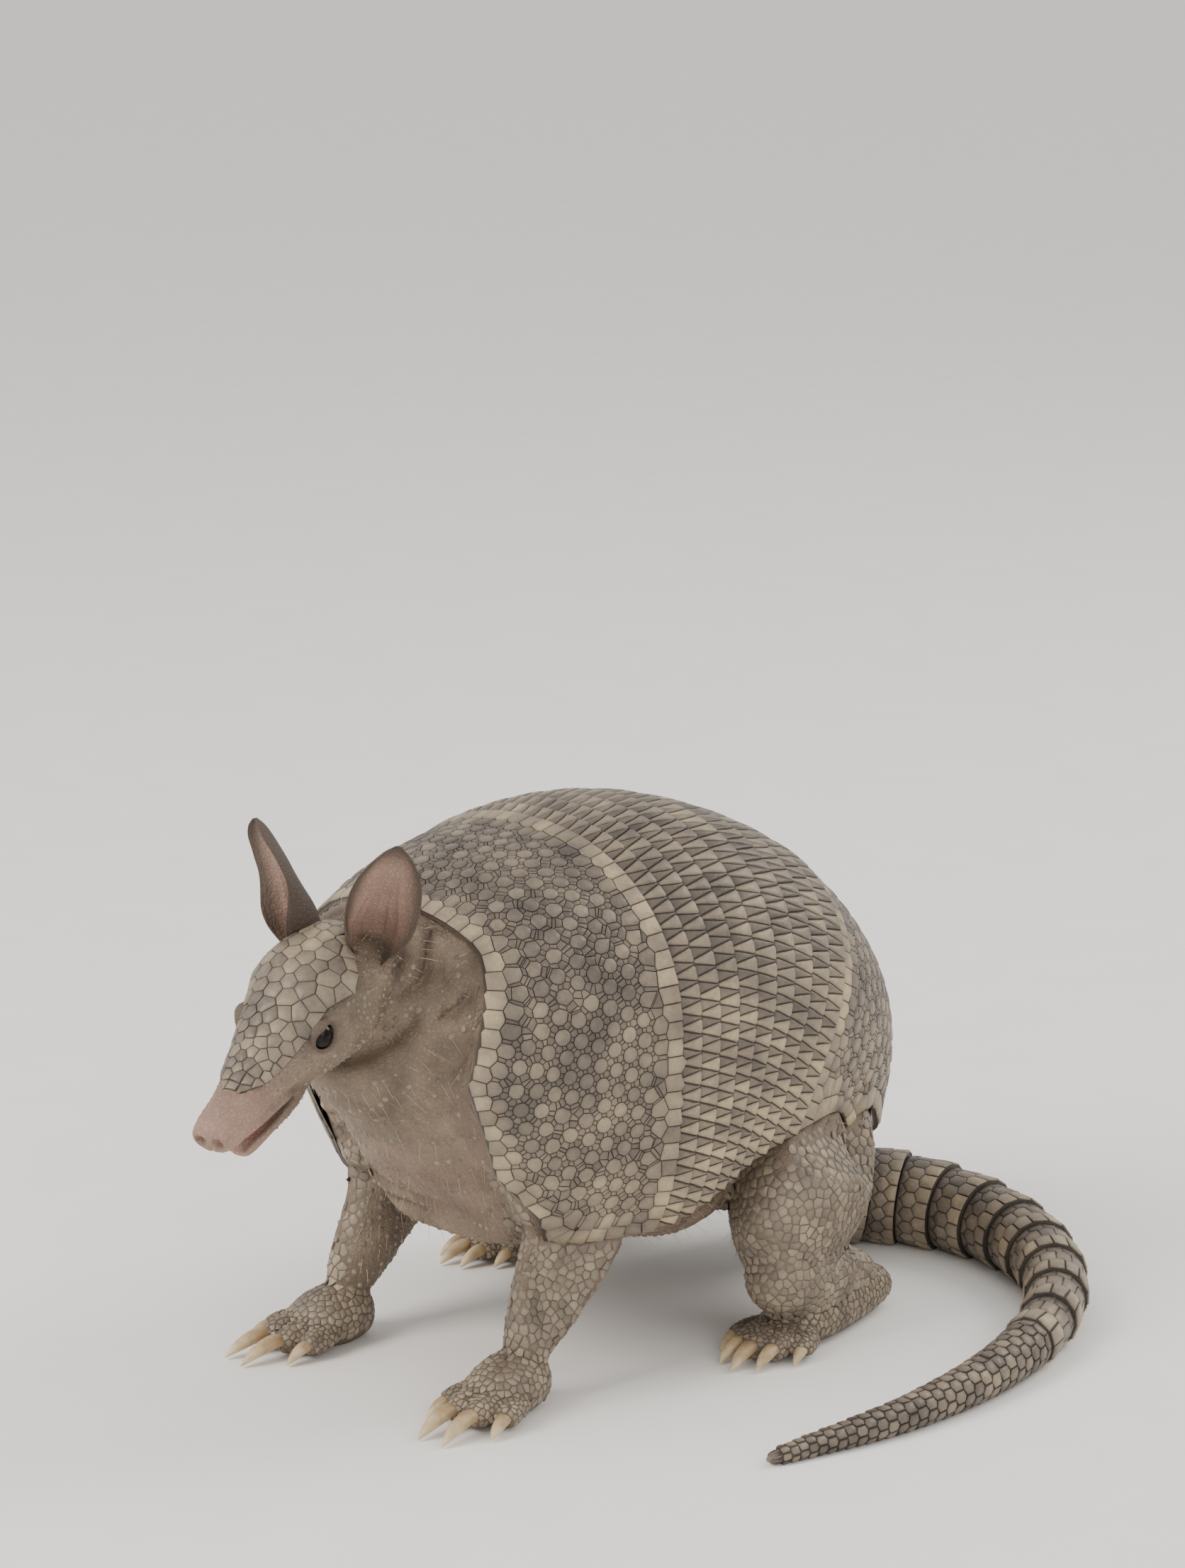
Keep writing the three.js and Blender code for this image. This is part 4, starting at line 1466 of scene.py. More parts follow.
@dataclass
class TailArmour:
    """The rings that sheathe the tail and the small scutes of its tip."""

    scute: float = 6.0
    rows: tuple[tuple[float, float], ...] = ((0.1, 1.0), (0.42, 2.6), (0.8, 3.0))

    def ring(self, i: int) -> Piece:
        """Models ring i, counted from 0: a row of small scutes and two of long ones, set in turn.

        Args:
            i: The ring.

        Returns:
            The piece.
        """
        margin = 0.15 / TAIL_LENGTH
        form = TailStretch(ring_edge(i) + margin, ring_edge(i + 1) - margin)
        dice = random.Random(200 + i)
        count = max(10, round(2 * math.pi * float(TAIL.radius((form.start + form.end) / 2)) / self.scute))
        seeds = Seeds(form)
        for r, (v, weight) in enumerate(self.rows):
            for c in range(count):
                u = (2 * (c + 0.5 * (r % 2)) + dice.uniform(-0.08, 0.08)) / count - 1
                shade = 0.1 + 0.2 * r + 0.2 * dice.random()
                seeds.add(u, v + dice.uniform(-0.01, 0.01), weight, TAIL_SCUTE, shade, 8.0)
        length = (form.end - form.start) * TAIL_LENGTH
        seeds.mirror_beyond(None, length * 0.45)
        return self.dressed(f"tail_ring_{i + 1:02d}_scutes", seeds, form, 48)

    def tip(self) -> Piece:
        """Models the tip: rows of small overlapping scutes.

        Returns:
            The piece.
        """
        form = TailStretch(TAIL_RINGED + 0.15 / TAIL_LENGTH, 0.999, 0.0)
        dice = random.Random(250)
        seeds = Seeds(form)
        length = (form.end - form.start) * TAIL_LENGTH
        v, row = 1.6 / length, 0
        while v < 1 - 1.0 / length:
            radius = float(TAIL.radius(form.start + (form.end - form.start) * v))
            high = 0.36 * radius + 1.6
            count = max(6, round(2 * math.pi * radius / (high * 1.15)))
            for c in range(count):
                u = (2 * (c + 0.5 * (row % 2)) + dice.uniform(-0.1, 0.1)) / count - 1
                seeds.add(u, v, 1.0, TAIL_SCUTE, 0.25 + 0.3 * dice.random(), high * 0.95)
            v += high * 0.95 / length
            row += 1
        seeds.mirror_beyond(None, 3.0)
        return self.dressed("tail_tip_scutes", seeds, form, 120)

    def dressed(self, name: str, seeds: Seeds, form: TailStretch, along: int) -> Piece:
        """Cuts the scutes, sets them on their bed and joins both."""
        return joined(name, [seeds.cut_into(Mosaic(), on_plate_map).piece(name), self.bed(form, along)])

    def bed(self, form: TailStretch, along: int) -> Piece:
        """The closed length of tail that the scutes are set in, with flat ends.

        Args:
            form: The stretch of tail.
            along: The bed's rings.

        Returns:
            The bed, with its bake map in the upper half of the square.
        """
        caps = 0.2  # how much of the ball's pole-to-pole angle each end takes

        def place(ball: Array) -> Array:
            """Where the blank's points go."""
            x, y, z = ball.T
            polar = np.arccos(np.clip(y, -1, 1)) / math.pi
            v = np.clip((polar - caps) / (1 - 2 * caps), 0, 1)
            fill = np.minimum(1, np.minimum(polar, 1 - polar) / caps)[:, None]
            rim = form.at(np.arctan2(x, z) / math.pi, v, -0.15)
            heart = (form.at(np.zeros_like(v), v, -0.15) + form.at(np.ones_like(v), v, -0.15)) / 2
            return heart * (1 - fill) + rim * fill

        bed = moulded_ball("tail_bed", 48, along, place)
        smooth_shade(bed, 50)
        layer = bed.data.uv_layers.active
        layer.name = "OFBake"
        places = np.empty(len(bed.data.loops) * 2, np.float32)
        layer.data.foreach_get("uv", places)
        places = places.reshape(-1, 2) * (0.98, 0.47) + (0.01, 0.515)
        layer.data.foreach_set("uv", places.astype(np.float32).ravel())
        tip = TAIL.at(0.0, 1.0)[0]
        end = 1 - step(np.linalg.norm(coordinates(bed) / MM - tip, axis=1), 2.5, 5)
        write_attribute(bed, "tone", 0.2 + 0.3 * end)
        # Low relief away from the tip, which the horn finish paints dark with soil and painted shade
        write_attribute(bed, "relief", 0.15 + 0.7 * end)
        return bed


# ------------------------------------------------------------------ the flesh

JAW_HINGE = 48.0
JAW_OPEN = 12 * DEGREE
JAW_DROP = -9.0
EYE = (47.0, 13.4, 5.6)  # along the snout, to the side and up, in the head's own frame
EYE_RADIUS = 5.0


def in_jaw(x: float, y: float, z: float) -> Array:
    """A point of the lower jaw, turned open about its hinge, in the body's own axes.

    Args:
        x: Its place along the head.
        y: Its place to the left.
        z: Its height, in mm.

    Returns:
        The point.
    """
    dx, dz = x - JAW_HINGE, z - JAW_DROP
    c, s = math.cos(JAW_OPEN), math.sin(JAW_OPEN)
    return in_head([JAW_HINGE + dx * c + dz * s, y, JAW_DROP - dx * s + dz * c]) - ORIGIN


def eye_axes(hand: int) -> tuple[Array, Array, Array, Array]:
    """An eye's place and bearing, in the head's own frame.

    Args:
        hand: 1 for the left eye, -1 for the right one.

    Returns:
        Its middle and its directions outward, forward and up.
    """
    axis = unit(np.array([0.2, hand * 1.0, 0.14]))
    ahead = np.array([1.0, 0, -0.1])
    ahead = unit(ahead - axis * (ahead @ axis))
    above = np.cross(axis, ahead)
    return np.array([EYE[0], hand * EYE[1], EYE[2]]), axis, ahead, above * np.sign(above[2])


@dataclass
class Leg:
    """One leg's sizes: its flesh, foot and toes, given for the left side."""

    name: str
    limbs: Sequence[tuple[Sequence, Profile, Profile, Sequence[float]]]
    ankle: tuple[float, float]
    yaw: float
    palm: tuple[float, float, float, float]  # back, front, high, wide
    toes: Sequence[tuple[str, float, float, float, float, float]]  # name, across, reach, spread, size, claw

    def on_foot(self, hand: int, forward: float, outward: float, height: float) -> tuple[float, float, float]:
        """A place on the foot: forward and outward of the ankle, height over the floor.

        Args:
            hand: 1 on the left, -1 on the right.
            forward: How far forward of the ankle, in mm.
            outward: How far outward of it.
            height: Height over the floor.

        Returns:
            The place.
        """
        s, c = math.sin(self.yaw * DEGREE), math.cos(self.yaw * DEGREE)
        x, y = self.ankle
        return hand * (x + forward * s + outward * c), y - forward * c + outward * s, height

    def flesh(self, hand: int) -> list[Limb]:
        """The leg's lengths of flesh: thigh or arm, palm or sole, and toes.

        Args:
            hand: 1 on the left, -1 on the right.

        Returns:
            The lengths.
        """
        made = []
        for route, wide, deep, up in self.limbs:
            mirrored = [(hand * x, y, z) for x, y, z in route]
            made.append(Limb(mirrored, wide, deep, (hand * up[0], up[1], up[2]), 0.5))
        back, front, high, wide = self.palm
        spots = ((back, 0.55), (back + (front - back) / 2, 0.56), (front, 0.4))
        route = [self.on_foot(hand, f, 0, high * h) for f, h in spots]
        girth = Profile((0, 0.78 * wide), (0.5, 0.92 * wide), (1, wide))
        depth = Profile((0, 0.66 * high), (0.5, 0.66 * high), (1, 0.52 * high))
        made.append(Limb(route, girth, depth, (0, 0, 1)))
        for _, across, reach, spread, size, _ in self.toes:
            knuckle = front + (reach - front) * 0.4
            spots = ((front - 10, 0.42 * high), (knuckle, 1.25 * size), (reach + 1, 0.95 * size))
            route = [self.on_foot(hand, f, across + spread * (f - reach + 12), z) for f, z in spots]
            toe = Profile((0, 0.95 * size), (1, 0.9 * size))
            made.append(Limb(route, toe, Profile((0, 1.05 * size), (1, 0.98 * size)), (0, 0, 1)))
        return made

    def claws(self, hand: int) -> Iterable[tuple[str, Limb]]:
        """The leg's claws, each with its name.

        Args:
            hand: 1 on the left, -1 on the right.

        Yields:
            Names and lengths.
        """
        for name, across, reach, spread, size, claw in self.toes:
            spots = ((0, 1.25 * size), (0.35, 1.3 * size), (0.72, 0.82 * size), (1, 0.9))
            route = [
                self.on_foot(hand, reach - 3 + f * claw, across + spread * (f * claw + 12), z)
                for f, z in spots
            ]
            wide = Profile((0, 0.55 * size), (0.3, 0.62 * size), (0.75, 0.4 * size), (1, 0.55))
            deep = Profile((0, 0.5 * size), (0.3, 0.52 * size), (0.75, 0.34 * size), (1, 0.5))
            yield name, Limb(route, wide, deep, (0, 0, 1), 0.55)


FORELEG = Leg(
    "fore",
    [
        (
            [(36, -74, 108), (44, -66, 84), (48, -62, 62), (48, -76, 36), (47, -88, 17)],
            Profile((0, 18), (0.3, 17), (0.55, 15), (0.8, 12.5), (1, 11.5)),
            Profile((0, 26), (0.3, 25), (0.55, 20), (0.8, 14.5), (1, 12.5)),
            (0, 1, 0.35),
        )
    ],
    (47, -88),
    7,
    (-10, 20, 17, 14),
    [
        ("inner", -11, 24, -0.12, 4.4, 13),
        ("second", -4, 30, -0.03, 5.2, 21),
        ("third", 4, 30, 0.05, 5.2, 21),
        ("outer", 11, 23, 0.16, 4.4, 13),
    ],
)
HINDLEG = Leg(
    "hind",
    [
        (
            [(36, 78, 74), (54, 52, 62), (67, 26, 49), (75, 6, 40)],
            Profile((0, 22), (0.35, 27), (0.7, 22), (1, 16)),
            Profile((0, 34), (0.35, 41), (0.7, 34), (1, 24)),
            (0, 0.35, 1),
        ),
        (
            [(75, 6, 34), (72, 26, 25), (68, 48, 19), (65, 72, 15)],
            Profile((0, 15), (0.5, 13), (1, 10)),
            Profile((0, 18), (0.5, 14), (1, 11)),
            (0, 0, 1),
        ),
    ],
    (65, 68),
    9,
    (-14, 56, 15, 14),
    [
        ("first", -12, 60, -0.14, 4, 10),
        ("second", -6.2, 67, -0.06, 4.6, 14),
        ("third", 0, 69, 0, 4.9, 16),
        ("fourth", 6.2, 66, 0.06, 4.6, 14),
        ("fifth", 12, 57, 0.14, 4, 10),
    ],
)

NECK = Limb(
    [(0, -88, 122), (0, -104, 138), (1, -118, 152), tuple(in_head([12, 0, 0]) - ORIGIN)],
    Profile((0, 44), (0.4, 37), (0.75, 27), (1, 19)),
    Profile((0, 44), (0.4, 38), (0.75, 28), (1, 18)),
    (0, 0, 1),
    0.3,
)
JAW = Limb(
    [tuple(in_jaw(*p)) for p in ((43, 0, -11), (60, 0, -10.6), (74, 0, -9.4), (88, 0, -8.6))],
    Profile((0, 10.5), (0.4, 9.5), (0.7, 7.2), (1, 5.6)),
    Profile((0, 5), (0.4, 4.6), (0.7, 3.4), (1, 2.6)),
    tuple(HEAD_UP),
)
TONGUE = Limb(
    [tuple(in_jaw(*p)) for p in ((56, 0, -7.2), (70, 0, -6.2), (83, 0, -5.4))],
    Profile((0, 5.2), (0.6, 4.4), (1, 3.4)),
    Profile((0, 1.8), (1, 1.5)),
    tuple(HEAD_UP),
)


def rounded_ends(form: Form, start: float, end: float, out: float, caps: float = 0.12) -> Move:
    """How a unit ball becomes a closed length of a form.

    Args:
        form: The form, closed round u from -pi to pi.
        start: The v of its first end.
        end: The v of its other end.
        out: Height over the form, in mm.
        caps: How much of the pole-to-pole angle each end takes.

    Returns:
        What moves the ball's points.
    """

    def place(ball: Array) -> Array:
        """Where the blank's points go."""
        x, y, z = ball.T
        polar = np.arccos(np.clip(y, -1, 1)) / math.pi
        v = start + (end - start) * np.clip((polar - caps) / (1 - 2 * caps), 0, 1)
        fill = np.sin(np.minimum(1, np.minimum(polar, 1 - polar) / caps) * math.pi / 2)[:, None]
        u = np.arctan2(x, z)
        heart = (form.at(np.zeros_like(v), v, out) + form.at(np.full_like(v, math.pi), v, out)) / 2
        return heart * (1 - fill) + form.at(u, v, out) * fill

    return place


def bump_at(points: Array, centre: Sequence[float], radius: Sequence[float] | float) -> Array:
    """A soft bump on rows of points: 1 at a centre, 0 from a radius on, given for all axes or for each."""
    far = np.sum(((points - np.array(centre)) / np.array(radius)) ** 2, axis=1)
    return np.clip(1 - far, 0, 1) ** 2


def noise_field(points: Array, size: float, seed: float = 0.0) -> Array:
    """Smooth noise from about -1 to 1, for points in mm, with waves of a size in mm."""
    return np.array([noise.noise(Vector(p)) for p in (points / size + seed).tolist()])


def fold_turn(points: Array) -> Array:
    """How far round its fold each place of the throat, chest and belly is: a crease at every whole turn."""
    start, end = np.array(NECK.route[0]), np.array(NECK.route[2])
    return (points - ORIGIN - start) @ unit(end - start) / 8.6 + 0.42 * noise_field(points, 19)


@dataclass
class Ear:
    """One ear: a leathery leaf rolled into a cup at its root."""

    hand: int
    along: float = 7.0
    side: float = 13.5
    height: float = 12.0
    length: float = 47.0
    half_width: float = 12.5
    splay: float = 20.0
    lean: float = 14.0
    wall: float = 1.9
    outline: Profile = Profile(
        (0, 0.5), (0.2, 0.78), (0.42, 1), (0.65, 0.93), (0.84, 0.66), (0.95, 0.36), (1, 0.12)
    )

    def at(self, x: Array, up: Array, z: Array) -> Array:
        """Points of the ear.

        Args:
            x: Places from rim to rim, from -1 to 1.
            up: Places from root, 0, to tip, 1.
            z: Places from the inner face, 0, to the outer, 1.

        Returns:
            The points, as rows in mm.
        """
        stem = unit(np.array([-math.sin(self.lean * DEGREE), self.hand * math.sin(self.splay * DEGREE), 1.0]))
        facing = np.array([0.86, self.hand * 0.5, 0.0])
        facing = unit(facing - stem * (facing @ stem))
        across = np.cross(stem, facing)
        half = self.half_width * self.outline(up)
        curl = 2.5 + (0.95 - 2.5) * step(up, 0, 0.6) + 0.35 * step(up, 0.7, 1)
        roll = half / np.sin(np.minimum(curl, math.pi / 2))
        radius = roll + (z - 0.5) * self.wall * (1 - 0.45 * up) * (1 - 0.35 * x**2)
        root = np.array([self.along, self.hand * self.side, self.height])
        bow = 2.2 * np.sin(up * math.pi) - 1.5 * up
        point = root + stem * (up * self.length - 4)[:, None] + across * (np.sin(x * curl) * radius)[:, None]
        return in_head(point + facing * (roll * np.cos(curl / 2) - np.cos(x * curl) * radius - bow)[:, None])

    def build(self) -> Piece:
        """Models the ear, with the ribs of its inner face and a thin rim.

        Returns:
            The closed leaf.
        """

        def place(x: Array, y: Array, z: Array) -> Array:
            """Where the blank's points go."""
            up = (y + 1) / 2
            z = 0.5 + (z - 0.5) * (1 - 0.75 * step(np.abs(x), 0.86, 1.0)) * (1 - 0.6 * step(up, 0.93, 1.0))
            lines = ((-0.62, 0.42), (-0.34, 0.2), (-0.02, 0.04), (0.3, -0.16), (0.6, -0.4))
            ribs = sum(np.exp(-(((x - c - b * up) / 0.075) ** 2)) for c, b in lines)
            ripple = 0.42 * ribs * step(up, 0.08, 0.3) * (1 - step(up, 0.6, 0.9))
            return self.at(x, up, np.where(z > 0.5, z, z - ripple))

        return moulded_plate(f"ear_{self.hand}", 56, 64, place)


class Part(IntEnum):
    """The parts of the body that the skin's detail follows."""

    TRUNK = 0
    NECK = 1
    HEAD = 2
    JAW = 3
    FORELEG = 4
    HINDLEG = 5
    FOOT = 6
    TOE = 7
    EAR = 8


class Chart:
    """Tells what part of the body a place is on, which way it runs there and whether the shell hides it."""

    def __init__(self) -> None:
        """Marks the parts out with points on their surfaces, and lays the shell's underside over them."""
        self.marks: list[tuple[Array, Array, Array]] = []
        nose_back = -HEAD[:3, 0]
        turn, rise = np.meshgrid(np.linspace(-math.pi, math.pi, 40), np.linspace(-0.995, 0.995, 48))
        ring = np.sqrt(1 - rise.ravel() ** 2)
        ball = np.stack([ring * np.sin(turn.ravel()), rise.ravel(), ring * np.cos(turn.ravel())], axis=-1)
        self.mark(Part.TRUNK, rounded_ends(FLESH_TRUNK, -0.24, 1.1, 0)(ball), (0, 1, -0.5))
        self.mark(Part.NECK, NECK.place(ball), (0, 0.8, -0.6))
        self.mark(Part.HEAD, rounded_ends(SKULL, 0, 1, 0, 0.1)(ball), nose_back)
        self.mark(Part.JAW, JAW.place(ball), nose_back)
        x, up = (a.ravel() for a in np.meshgrid(np.linspace(-1, 1, 31), np.linspace(0.06, 1, 41)))
        for hand in (1, -1):
            for face in (0.0, 1.0):
                self.mark(Part.EAR, Ear(hand).at(x, up, np.full(len(x), face)), -HEAD_UP)
            for leg, own in ((FORELEG, Part.FORELEG), (HINDLEG, Part.HINDLEG)):
                kinds = [own] * len(leg.limbs) + [Part.FOOT] + [Part.TOE] * len(leg.toes)
                for kind, limb in zip(kinds, leg.flesh(hand)):
                    self.mark(kind, limb.place(ball), np.subtract(limb.route[-1], limb.route[0]))
        places, parts, runs = zip(*self.marks)
        self.tree, self.part, self.run = tree_of(np.vstack(places)), np.concatenate(parts), np.vstack(runs)
        points, faces, across, along = [], [], 121, 31
        grid = np.meshgrid(np.linspace(-1, 1, across), np.linspace(0, 1, along), indexing="ij")
        u, v = (a.ravel() for a in grid)
        corner = (np.arange(across - 1)[:, None] * along + np.arange(along - 1)).ravel()
        quads = np.stack([corner, corner + 1, corner + along + 1, corner + along], axis=1)
        for k, (front, rear) in enumerate(STRETCHES):
            points.append(PlateForm(front, rear, 0.0, rows=21).at(u, v, -1.5))
            faces += (quads + k * len(u)).tolist()
        self.shell = BVHTree.FromPolygons(np.vstack(points).tolist(), faces)

    def mark(self, part: Part, points: Array, run: Sequence[float]) -> None:
        """Marks one part of the body out by points on its surface, with the way that it runs."""
        runs = np.tile(unit(np.array(run, float)), (len(points), 1))
        self.marks.append((points, np.full(len(points), int(part)), runs))

    def read(self, points: Array) -> tuple[Array, Array]:
        """The number of the part that each place is on, and the way that it runs."""
        found = [self.tree.find(p)[1] for p in points.tolist()]
        return self.part[found], self.run[found]

    def hidden(self, points: Array, up: Array) -> Array:
        """Which places have the shell close over them.

        Args:
            points: Rows of places on the skin, in mm.
            up: The skin's normals there.

        Returns:
            True for each hidden place.
        """
        hidden = np.zeros(len(points), bool)
        for i, (p, n) in enumerate(zip(points, up)):
            near, _, _, far = self.shell.find_nearest(p, 8)
            beside = near is not None and (far < 3.0 or (np.array(near) - p) @ n > 0.25 * far)
            hidden[i] = beside or self.shell.ray_cast(p - n * 2, n, 18)[0] is not None
        return hidden


@dataclass
class Skin:
    """All the flesh as one skin: trunk, neck, head, jaw, ears, legs and feet."""

    chart: Chart
    depth: float = 0.35
    voxel: float = 0.8
    budget: int = 150000

    def build(self) -> Piece:
        """Models the skin.

        Returns:
            The skin, with the attributes that its finish reads.
        """
        spaces = [self.under_shell(*ends) for ends in STRETCHES]
        neck = moulded_ball("neck_flesh", 64, 40, NECK.place)
        combine(neck, spaces[0], "DIFFERENCE")
        body = [
            moulded_ball("trunk_flesh", 96, 72, rounded_ends(FLESH_TRUNK, -0.24, 1.1, -self.depth)),
            moulded_ball("head_flesh", 72, 64, rounded_ends(SKULL, 0, 1, -self.depth * 0.5, 0.1)),
            moulded_ball("jaw_flesh", 40, 40, JAW.place),
            neck,
            self.collar_pad(),
            moulded_ball("tail_root_flesh", 48, 32, self.tail_root),
            *(moulded_ball("lip_flesh", 16, 24, lip.place) for lip in self.lips()),
            *(moulded_ball("orbit", 32, 24, lambda ball, s=s: self.orbit(ball, s)) for s in (1, -1)),
        ]
        for leg in (FORELEG, HINDLEG):
            for hand in (1, -1):
                lengths = [moulded_ball("leg_flesh", 48, 32, limb.place) for limb in leg.flesh(hand)]
                body.append(self.fused(joined("leg_flesh", lengths)))
                for space in spaces:
                    combine(body[-1], space, "DIFFERENCE")
        for space in spaces:
            bpy.data.objects.remove(space)
        skin = self.fused(joined("skin", body))
        apply_modifier(skin, "SMOOTH", factor=0.5, iterations=4)
        self.tuck_under_rim(skin)
        self.ease_joints(skin)
        self.thin(skin)
        self.shape_face(skin)
        self.shape_folds(skin)
        for hand in (1, -1):
            for cutter in self.eye_cutters(hand):
                combine(skin, cutter, "DIFFERENCE")
                bpy.data.objects.remove(cutter)
            for part in (Ear(hand).build(), self.lid(hand)):
                combine(skin, part, "UNION")
                bpy.data.objects.remove(part)
        self.flatten_soles(skin)
        self.colour(skin)
        smooth_shade(skin)
        return skin

    def under_shell(self, front: Edge, rear: Edge) -> Piece:
        """The space that a stretch of the shell and all inside it take, which the legs keep out of.

        Args:
            front: The stretch's front edge.
            rear: Its rear edge.

        Returns:
            The closed space.
        """
        form = PlateForm(lambda u: front(u) - 1.5 * BAND_GAP, lambda u: rear(u) + 1.5 * BAND_GAP, 0.0)

        def place(x: Array, y: Array, z: Array) -> Array:
            """Where the blank's points go."""
            return form.at(x * 1.01, (y + 1) / 2, np.where(z > 0.5, 40, -24 - SHELL_OUTER))

        return moulded_plate("under_shell", 64, 16, place)

    def collar_pad(self) -> Piece:
        """The roll of flesh that fills the shoulder shield's front edge from below.

        Returns:
            The roll.
        """
        form = PlateForm(scapular_front, level(SCAPULAR_END), rows=21)

        def place(x: Array, y: Array, z: Array) -> Array:
            """Where the blank's points go."""
            roll = 1 - ((y - 0.1) / 1.1) ** 2
            under = SHELL_INNER - SHELL_OUTER - 0.5
            return form.at(x * 0.97, 0.004 + 0.11 * (y + 1), np.where(z > 0.5, under - 1.3 * (1 - roll), -16))

        return moulded_plate("collar_pad", 96, 12, place)

    def tail_root(self, ball: Array) -> Array:
        """The flesh that the first ring of the tail is set on."""
        return TAIL.centre(np.zeros(1)) + ORIGIN + (0, -1, 0) + ball * (21.8, 17, 21.8)

    def orbit(self, ball: Array, hand: int) -> Array:
        """The ball of flesh round an eye, which becomes its lids."""
        return in_head(np.array([EYE[0], hand * EYE[1], EYE[2]]) + ball * (EYE_RADIUS + 1.35))

    def lips(self) -> Iterable[Limb]:
        """The rolls of the lips, from the corners of the mouth to its front.

        Yields:
            The rolls.
        """
        for hand in (1, -1):
            upper = ((57, 8.6, -9.4), (68, 9.2, -6.6), (82, 7.6, -5.2), (95, 4.6, -4.6))
            lower = ((57, 8.4, -9.6), (68, 8.2, -8.2), (79, 6.0, -7.2), (88.5, 2.6, -6.6))
            above = [in_head((x, hand * y, z)) - ORIGIN for x, y, z in upper]
            for route in (above, [in_jaw(x, hand * y, z) for x, y, z in lower]):
                girth = Profile((0, 1.5), (0.5, 1.3), (1, 1.1))
                yield Limb([tuple(p) for p in route], girth, girth, tuple(HEAD_UP))

    def eye_ray(self, hand: int, around: Array, opening: Array) -> Array:
        """Directions from an eye's middle: at a turn round its axis, a part of the way to the lids' edge.

        Args:
            hand: 1 on the left, -1 on the right.
            around: Turns round the axis, in radians.
            opening: Parts of the way.

        Returns:
            The directions.
        """
        _, axis, ahead, above = eye_axes(hand)
        angle = opening * (45 + 17 * np.abs(np.cos(around)) ** 1.5 - 5 * np.sin(around)) * DEGREE
        direction = ahead * np.cos(around)[:, None] + above * np.sin(around)[:, None]
        return axis * np.cos(angle)[:, None] + direction * np.sin(angle)[:, None]

    def eye_cutters(self, hand: int) -> Iterable[Piece]:
        """The eyeball's socket and the almond opening of the lids.

        Args:
            hand: 1 on the left, -1 on the right.

        Yields:
            The two shapes.
        """
        centre = eye_axes(hand)[0]

        def almond(ball: Array) -> Array:
            """Where the ball's points go."""
            s = np.arccos(np.clip(ball[:, 1], -1, 1)) / math.pi
            opening = np.minimum(1, np.minimum(s, 1 - s) / 0.4)
            reach = EYE_RADIUS + np.interp(s, (0, 0.4, 0.6, 1), (6, 6, -2, -2))
            ray = self.eye_ray(hand, np.arctan2(ball[:, 0], ball[:, 2]), opening)
            return in_head(centre + ray * reach[:, None])

        yield moulded_ball("socket", 48, 40, lambda ball: in_head(centre + ball * (EYE_RADIUS + 0.14)))
        yield moulded_ball("opening", 48, 40, almond)

    def lid(self, hand: int) -> Piece:
        """The rounded rim of one eye's lids.

        Args:
            hand: 1 on the left, -1 on the right.

        Returns:
            The rim, as a bent ring.
        """
        centre = eye_axes(hand)[0]
        pick()
        bpy.ops.mesh.primitive_torus_add(
            major_segments=72, minor_segments=14, major_radius=1, minor_radius=0.5
        )
        piece = bpy.context.object
        x, y, z = coordinates(piece).T
        around, tube_out, tube_up = np.arctan2(y, x), (np.hypot(x, y) - 1) / 0.5, z / 0.5
        outward = self.eye_ray(hand, around, np.ones(len(x)))
        along = unit(self.eye_ray(hand, around, np.full(len(x), 1.05)) - outward)
        thick = 0.52 + 0.14 * np.sin(around)
        ring = outward * (EYE_RADIUS + 0.6) + along * 0.1
        points = centre + ring + (outward * tube_up[:, None] + along * tube_out[:, None]) * thick[:, None]
        move_vertices(piece, in_head(points) * MM)
        face_outwards(piece)
        return piece

    def fused(self, piece: Piece) -> Piece:
        """Makes one even skin of all that overlaps in a piece, and gives it back."""
        apply_modifier(piece, "REMESH", mode="VOXEL", voxel_size=self.voxel * MM, adaptivity=0.0)
        return piece

    def tuck_under_rim(self, skin: Piece) -> None:
        """Draws the legs in where they come out from under the shell's rim.

        Args:
            skin: The skin.
        """
        points, ups = [], []
        for ends in STRETCHES:
            form = PlateForm(*ends, 0.0, rows=21)
            edge, inner = np.linspace(0, 1, 80), np.linspace(0.6, 1, 80)
            for hand in (1, -1):
                for u, v in ((0 * edge + 1, edge), (inner, 0 * edge), (inner, 0 * edge + 1)):
                    point, up, _ = form.stand(hand * u, v)
                    points.append(point)
                    ups.append(up)
        points, ups = np.vstack(points), np.vstack(ups)
        tree, p = tree_of(points), coordinates(skin) / MM
        drawn = np.zeros(len(p))
        for i in np.nonzero((np.abs(p[:, 0] - ORIGIN[0]) > 25) & (p[:, 2] > 20))[0]:
            _, k, far = tree.find(p[i])
            high = (p[i] - points[k]) @ ups[k]
            away = math.sqrt(max(far**2 - high**2, 0))
            over = high - (0.25 * away + 0.05 * away**2 - 1.4)
            if far < 45 and over > -2.5:
                p[i] -= ups[k] * max(over, 0)
                drawn[i] = 1.0
        move_vertices(skin, p * MM)
        weigh(skin, "drawn_in", drawn)
        apply_modifier(skin, "SMOOTH", factor=0.5, iterations=25, vertex_group="drawn_in")

    def ease_joints(self, skin: Piece) -> None:
        """Runs wrists, heels and the tops of the legs softly into what they join.

        Args:
            skin: The skin.
        """
        p = coordinates(skin) / MM - ORIGIN
        p[:, 0] = np.abs(p[:, 0])
        spots = (
            ((47, -84, 22), 20),
            ((66, 62, 22), 20),
            ((73, 16, 22), 25),
            ((44, -66, 84), 24),
            ((60, 60, 62), 26),
        )
        weights = np.maximum.reduce([bump_at(p, *spot) ** 0.5 for spot in spots])
        weigh(skin, "joints", np.round(weights * 8) / 8)
        apply_modifier(skin, "SMOOTH", factor=0.5, iterations=50, vertex_group="joints")

